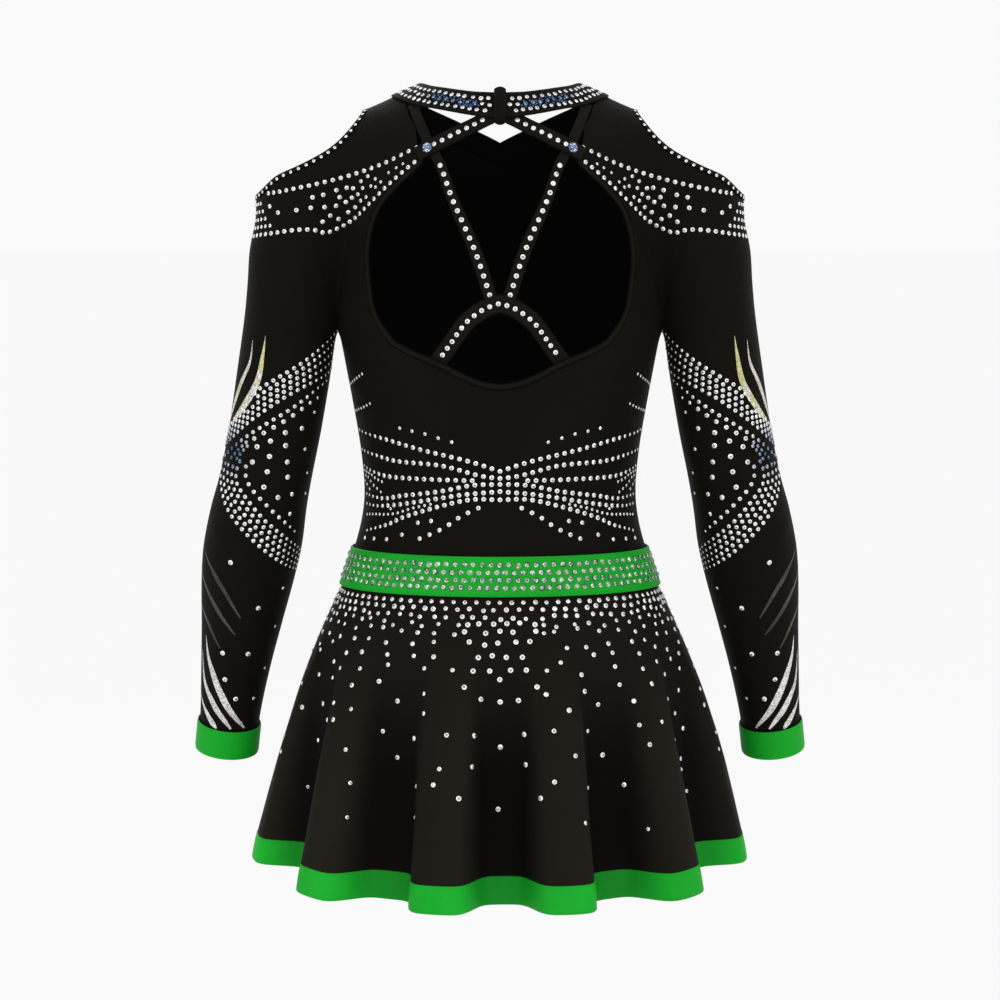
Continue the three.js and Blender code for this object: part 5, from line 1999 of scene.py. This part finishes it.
@dataclass
class SkirtStones:
    """Close rows under the waistband that thin out down the skirt, with a point at the centre."""

    rows: tuple[tuple[float, float, float, float], ...] = (  # drop, pitch, size, unevenness
        (3.8, 8.3, 4.1, 0.25), (9.4, 8.6, 4.3, 0.7), (15.2, 9.6, 4.1, 1.3), (21.5, 12, 3.8, 2.0),
        (28.5, 15, 3.9, 2.6), (37.5, 18.5, 4.1, 3.0), (48, 22, 4.1, 3.6), (60, 25, 4.1, 4.2),
        (74, 30, 4.2, 5.0), (90, 33, 4.3, 5.5), (108, 37, 4.3, 6.0), (128, 41, 4.2, 6.5),
        (150, 47, 4.0, 7.0), (178, 62, 3.6, 7.5),
    )
    point_rows: tuple[tuple[float, ...], ...] = (  # drop, then places out from the centre
        (20.5, 5, 17, 28), (27, 0, 11, 30), (35, 1, 13, 25), (46, 6, 18), (56.5, 9, 22), (63.5, 0),
        (70, 30), (81, 0, 15), (107, 21), (119, 0), (133, 22), (155, 32), (169, 2),
    )
    point_half: float = 34

    def build(self) -> Stones:
        """All the stones on the skirt, in one piece."""
        made = Stones("skirt_stones", 41)
        rng = np.random.default_rng(42)
        length = SKIRT.top - HEM_Z
        hidden = WAIST_LAP + SKIRT_TUCK
        for row in self.point_rows:
            share = (row[0] + hidden) / length
            x = np.array([s * v for v in row[1:] for s in ((1, -1) if v else (1,))], float)
            half = SKIRT.flare.read(SKIRT.top + (HEM_Z - SKIRT.top) * share)[0]
            x = x + rng.normal(0, 0.7, len(x))
            shares = share + rng.normal(0, 0.9, len(x)) / length
            self._put(made, np.arcsin(x / half), shares, 4.5)
        for k, (drop, pitch, size, uneven) in enumerate(self.rows):
            share = (drop + hidden) / length
            ring = SKIRT.point(np.arange(0, len(SKIRT.crests), 0.05), share)
            around = lengths_along(np.vstack([ring, ring[:1]]))[-1]
            count = int(around / pitch)
            angle = 2 * np.pi * (np.arange(count) + 0.5 * (k % 2)) / count
            half = SKIRT.flare.read(SKIRT.top + (HEM_Z - SKIRT.top) * share)[0]
            angle = angle + rng.normal(0, 1, count) * uneven / half
            shares = share + rng.normal(0, 0.6, count) * uneven / length
            centre = (np.abs(half * np.sin(angle)) < self.point_half) & (np.cos(angle) > 0)
            keep = ~centre | (drop < 18)
            size = size * rng.uniform(0.85, 1.05, count)
            self._put(made, angle[keep], shares[keep], size[keep])
        return made

    def _put(self, made: Stones, angle: Array, share: Array, size: Array | float) -> None:
        """Sets stones on the outside of the cloth."""
        fold = SKIRT.fold_at(angle)
        out = SKIRT.out(fold, share)
        made.add(SKIRT.point(fold, share), out, size)


def binding_stones(sleeve: Sleeve) -> Stones:
    """A row of small stones round the binding of a cold shoulder."""
    made = Stones(f"shoulder_binding_{sleeve.label}_stones", 51)
    line = BODY.settle(SEAMS.cut_edge * 0.3 + SEAMS.cut_bound * 0.7)
    spots = BODY.settle(even_spots(line, 7.0, loop=True))
    out = BODY.outward(spots)
    made.add(sleeve.place(spots + out * 1.62), sleeve.place(out), 2.7)
    return made


# ---- glitter streaks ----
@dataclass(frozen=True)
class Streak:
    """A tapered, bent streak of glitter film: its widest half, where that is, and its way."""

    finish: Finish
    half: float
    full_at: float
    guide: Guide


STREAKS = (
    Streak(Finish.GOLD, 3.1, 0.72, (
        (197, 43, -203), (199, 43, -219), (204, 43, -242), (216, 37, -263), (228, 25, -279),
    )),
    Streak(Finish.GOLD, 2.6, 0.66, (
        (208, 35, -207), (211, 36, -226), (219, 29, -245), (226, 23, -262), (229, 16, -276),
    )),
    Streak(Finish.SMOKE, 1.9, 0.4, (
        (251, 18, -386), (243, 29, -408), (234, 31, -423), (222, 27, -445),
    )),
    Streak(Finish.SMOKE, 1.9, 0.45, (
        (256, 6, -402), (249, 20, -426), (239, 23, -443), (227, 21, -460),
    )),
    Streak(Finish.SMOKE, 1.4, 0.45, (
        (257, 2, -434), (250, 12, -453), (240, 14, -473),
    )),
    Streak(Finish.SILVER, 2.9, 0.62, (
        (253, 6, -463), (252, 5, -481), (247, 6, -501), (236, 2, -527), (223, -8, -547),
    )),
    Streak(Finish.SILVER, 2.6, 0.7, (
        (257, -4, -477), (256, -5, -504), (249, -1, -524), (234, -4, -547),
    )),
    Streak(Finish.SILVER, 2.4, 0.8, (
        (260, -18, -516), (255, -9, -533), (246, -6, -547),
    )),
)


def build_streaks(sleeve: Sleeve) -> list[Piece]:
    """Each streak as a thin closed patch just above the sleeve, one object for each finish."""
    made = []
    for kind in (Finish.SILVER, Finish.GOLD, Finish.SMOKE):
        shells = []
        for k, streak in enumerate(s for s in STREAKS if s.finish is kind):
            line = guide_line(streak.guide, 60)
            t = np.linspace(0, 1, len(line))
            body = np.where(
                t < streak.full_at,
                np.sin(0.5 * np.pi * t / streak.full_at) ** 1.3,
                np.cos(0.5 * np.pi * (t - streak.full_at) / (1 - streak.full_at) * 0.85),
            )
            half = 0.15 + streak.half * body
            ribbon = Ribbon("streak", line, lambda _, half=half: half, lambda t: 0 * t)
            grid = ribbon.rows(7)
            rise = sleeve_relief(grid)
            lifts = CLOTH - 0.05 + rise, CLOTH + 0.16 + rise
            name = f"{kind.value.name}_{sleeve.label}_{k}"
            shells.append(on_figure(name, grid, lifts, False, sleeve.place))
        made.append(dress(merged(f"sleeve_{sleeve.label}_{kind.value.name}", shells), kind, None))
    return made


def merged(name: str, parts: list[Piece]) -> Piece:
    """Several mesh objects made into one."""
    with bpy.context.temp_override(
        active_object=parts[0], object=parts[0], selected_objects=parts,
        selected_editable_objects=parts,
    ):
        bpy.ops.object.join()
    parts[0].name = name
    parts[0].data.name = name
    return parts[0]


# ---- stage ----
@dataclass
class Studio:
    """Pale floor, soft even light and the camera."""

    distance: float = 2.5
    elevation: float = 6.5
    look_at: float = -0.3466
    floor_z: float = -1.27
    lens: float = 104.65

    def floor(self) -> None:
        """A wide pale disc at the level of the wearer's feet."""
        count, radius = 96, 40000
        rim = radius * spokes(np.array([1.0, 0, 0]), np.array([0, 1.0, 0]), round_turns(count))
        rim[:, 2] = self.floor_z / MM
        floor = make_object("studio_floor", rim, [list(range(count))], smooth=False)
        tree = Tree("pale_floor")
        tree.shine(
            Base_Color=(0.05, 0.05, 0.05, 1), Roughness=1.0, Specular_IOR_Level=0.0,
            Emission_Color=(1, 1, 1, 1), Emission_Strength=0.892,
        )
        floor.data.materials.append(tree.material)
        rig.stage(floor)

    def light(self) -> None:
        """An even white surround and three large soft lamps."""
        world = bpy.data.worlds.new("studio_surround")
        world.use_nodes = True
        back = world.node_tree.nodes["Background"]
        back.inputs["Color"].default_value = (1, 1, 1, 1)
        back.inputs["Strength"].default_value = 0.95
        bpy.context.scene.world = world
        for name, place, watts, size in (
            ("lamp_key", (-1.6, 2.6, 1.6), 26.0, 1.8),
            ("lamp_fill", (2.2, 2.0, 0.6), 12.0, 1.8),
            ("lamp_front", (0.6, -2.6, 1.4), 22.0, 2.0),
        ):
            data = bpy.data.lights.new(name, "AREA")
            data.energy, data.size = watts, size
            lamp = bpy.data.objects.new(name, data)
            lamp.location = place
            aim = Vector((0, 0, -0.35)) - Vector(place)
            lamp.rotation_euler = aim.to_track_quat("-Z", "Y").to_euler()
            bpy.context.scene.collection.objects.link(lamp)

    def camera(self) -> None:
        """A camera behind the garment, a little above its middle."""
        lift = np.radians(self.elevation)
        place = Vector((0, self.distance * np.cos(lift), self.look_at + self.distance * np.sin(lift)))
        data = bpy.data.cameras.new("camera")
        data.lens, data.sensor_width = self.lens, 36
        data.clip_end = 200
        view = bpy.data.objects.new("camera", data)
        view.location = place
        view.rotation_euler = (Vector((0, 0, self.look_at)) - place).to_track_quat("-Z", "Y").to_euler()
        bpy.context.scene.collection.objects.link(view)
        bpy.context.scene.camera = view

    def build(self) -> None:
        """Floor, lights, camera and a plain view transform."""
        self.floor()
        self.light()
        self.camera()
        bpy.context.scene.view_settings.view_transform = "Standard"


# ---- all together ----
def declare(piece: Piece, flat: tuple[float, float], area: float, held: str,
            rests_on: list[str], with_pieces: list[Piece]) -> None:
    """Says that a piece is cloth and how it was cut.

    Args:
        piece: the cloth's shell.
        flat: length and width of the flat piece, in metres.
        area: its area in square metres.
        held: how it keeps its form.
        rests_on: names of the shells that it lies on.
        with_pieces: what is fixed to it, such as its stones and stitches.
    """
    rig.sheet(piece, flat=flat, held=held, rests_on=rests_on, area=area, with_pieces=with_pieces)


def lay(stones: Stones, finish: Finish = Finish.CRYSTAL) -> Piece:
    """Builds and dresses a piece's stones."""
    return dress(stones.build(), finish, "crystal")


def sew(stitches: Stitches, finish: Finish = Finish.THREAD_BLACK) -> Piece:
    """Builds and dresses a piece's stitches."""
    return dress(stitches.build(), finish, None)


def main() -> None:
    """Builds the uniform piece by piece and declares its cloth."""
    logging.basicConfig(level=logging.INFO, format="%(name)s %(message)s")
    bodice = Bodice()
    back, front, keyhole = bodice.build()
    skirt, hem = SKIRT.build()
    waist = Waistband()
    waistband = waist.build()
    neck = Neckband()
    neckband = neck.build()
    keeper = Keeper().build(neck)
    straps = Straps()
    strap, strap_stones = straps.build(), straps.stones()
    on_body = BodyStones().build_rows()
    SleeveStones().add_to(on_body)
    back_stones = lay(on_body["back"])
    for side in (1, -1):
        sleeve = Sleeve(side)
        parts = sleeve.build()
        stones = lay(on_body[sleeve.label])
        streaks = build_streaks(sleeve)
        Gem(side).build()
        declare(parts["sleeve"], (0.32, 0.50), 0.12, "stretched", [], [stones, *streaks])
        declare(parts["cuff"], (0.18, 0.025), 0.0045, "stretched", [f"sleeve_{sleeve.label}_cloth"],
                [sew(sleeve.stitches(), Finish.THREAD_GREEN)])
        declare(parts["binding"], (0.26, 0.010), 0.0024, "stretched",
                [f"sleeve_{sleeve.label}_cloth"], [lay(binding_stones(sleeve))])
    declare(back, (0.44, 0.42), 0.08, "stretched", ["front_bodice_cloth"], [back_stones])
    declare(front, (0.44, 0.44), 0.13, "stretched", ["back_bodice_cloth"], [])
    declare(keyhole, (0.56, 0.010), 0.0045, "stretched", ["back_bodice_cloth"],
            [sew(bodice.stitches())])
    declare(skirt, (1.2, 0.24), 0.24, "hung", ["waistband_cloth"], [lay(SkirtStones().build())])
    declare(hem, (1.36, 0.0225), 0.030, "hung", ["skirt_cloth"],
            [sew(SKIRT.stitches(), Finish.THREAD_GREEN)])
    declare(waistband, (0.7, 0.033), 0.023, "stretched", ["back_bodice_cloth"],
            [lay(waist.stones(), Finish.CRYSTAL_ON_GREEN), sew(waist.stitches(), Finish.THREAD_GREEN)])
    declare(neckband, (0.46, 0.027), 0.0118, "stretched", ["front_bodice_cloth"],
            [lay(neck.stones()), sew(neck.stitches())])
    declare(keeper, (0.06, 0.012), 0.00072, "folded", ["neckband_cloth"], [])
    for label, flat, area in (
        ("arch_strap", (0.175, 0.015), 0.0026),
        ("diagonal_strap_left", (0.075, 0.013), 0.00095),
        ("diagonal_strap_right", (0.075, 0.013), 0.00095),
        ("cross_strap_left", (0.19, 0.011), 0.0018),
        ("cross_strap_right", (0.19, 0.011), 0.0018),
    ):
        declare(strap[label], flat, area, "stretched", ["back_bodice_cloth"],
                [lay(strap_stones[label])])
    Studio().build()
    sizes = {"cad": [list(map(float, p)) for p in CAD_BOX],
             "visual": [list(map(float, p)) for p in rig.bounds()]}
    with open("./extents.json", "w", encoding="utf-8") as out:
        json.dump(sizes, out)


if __name__ == "__main__":
    main()
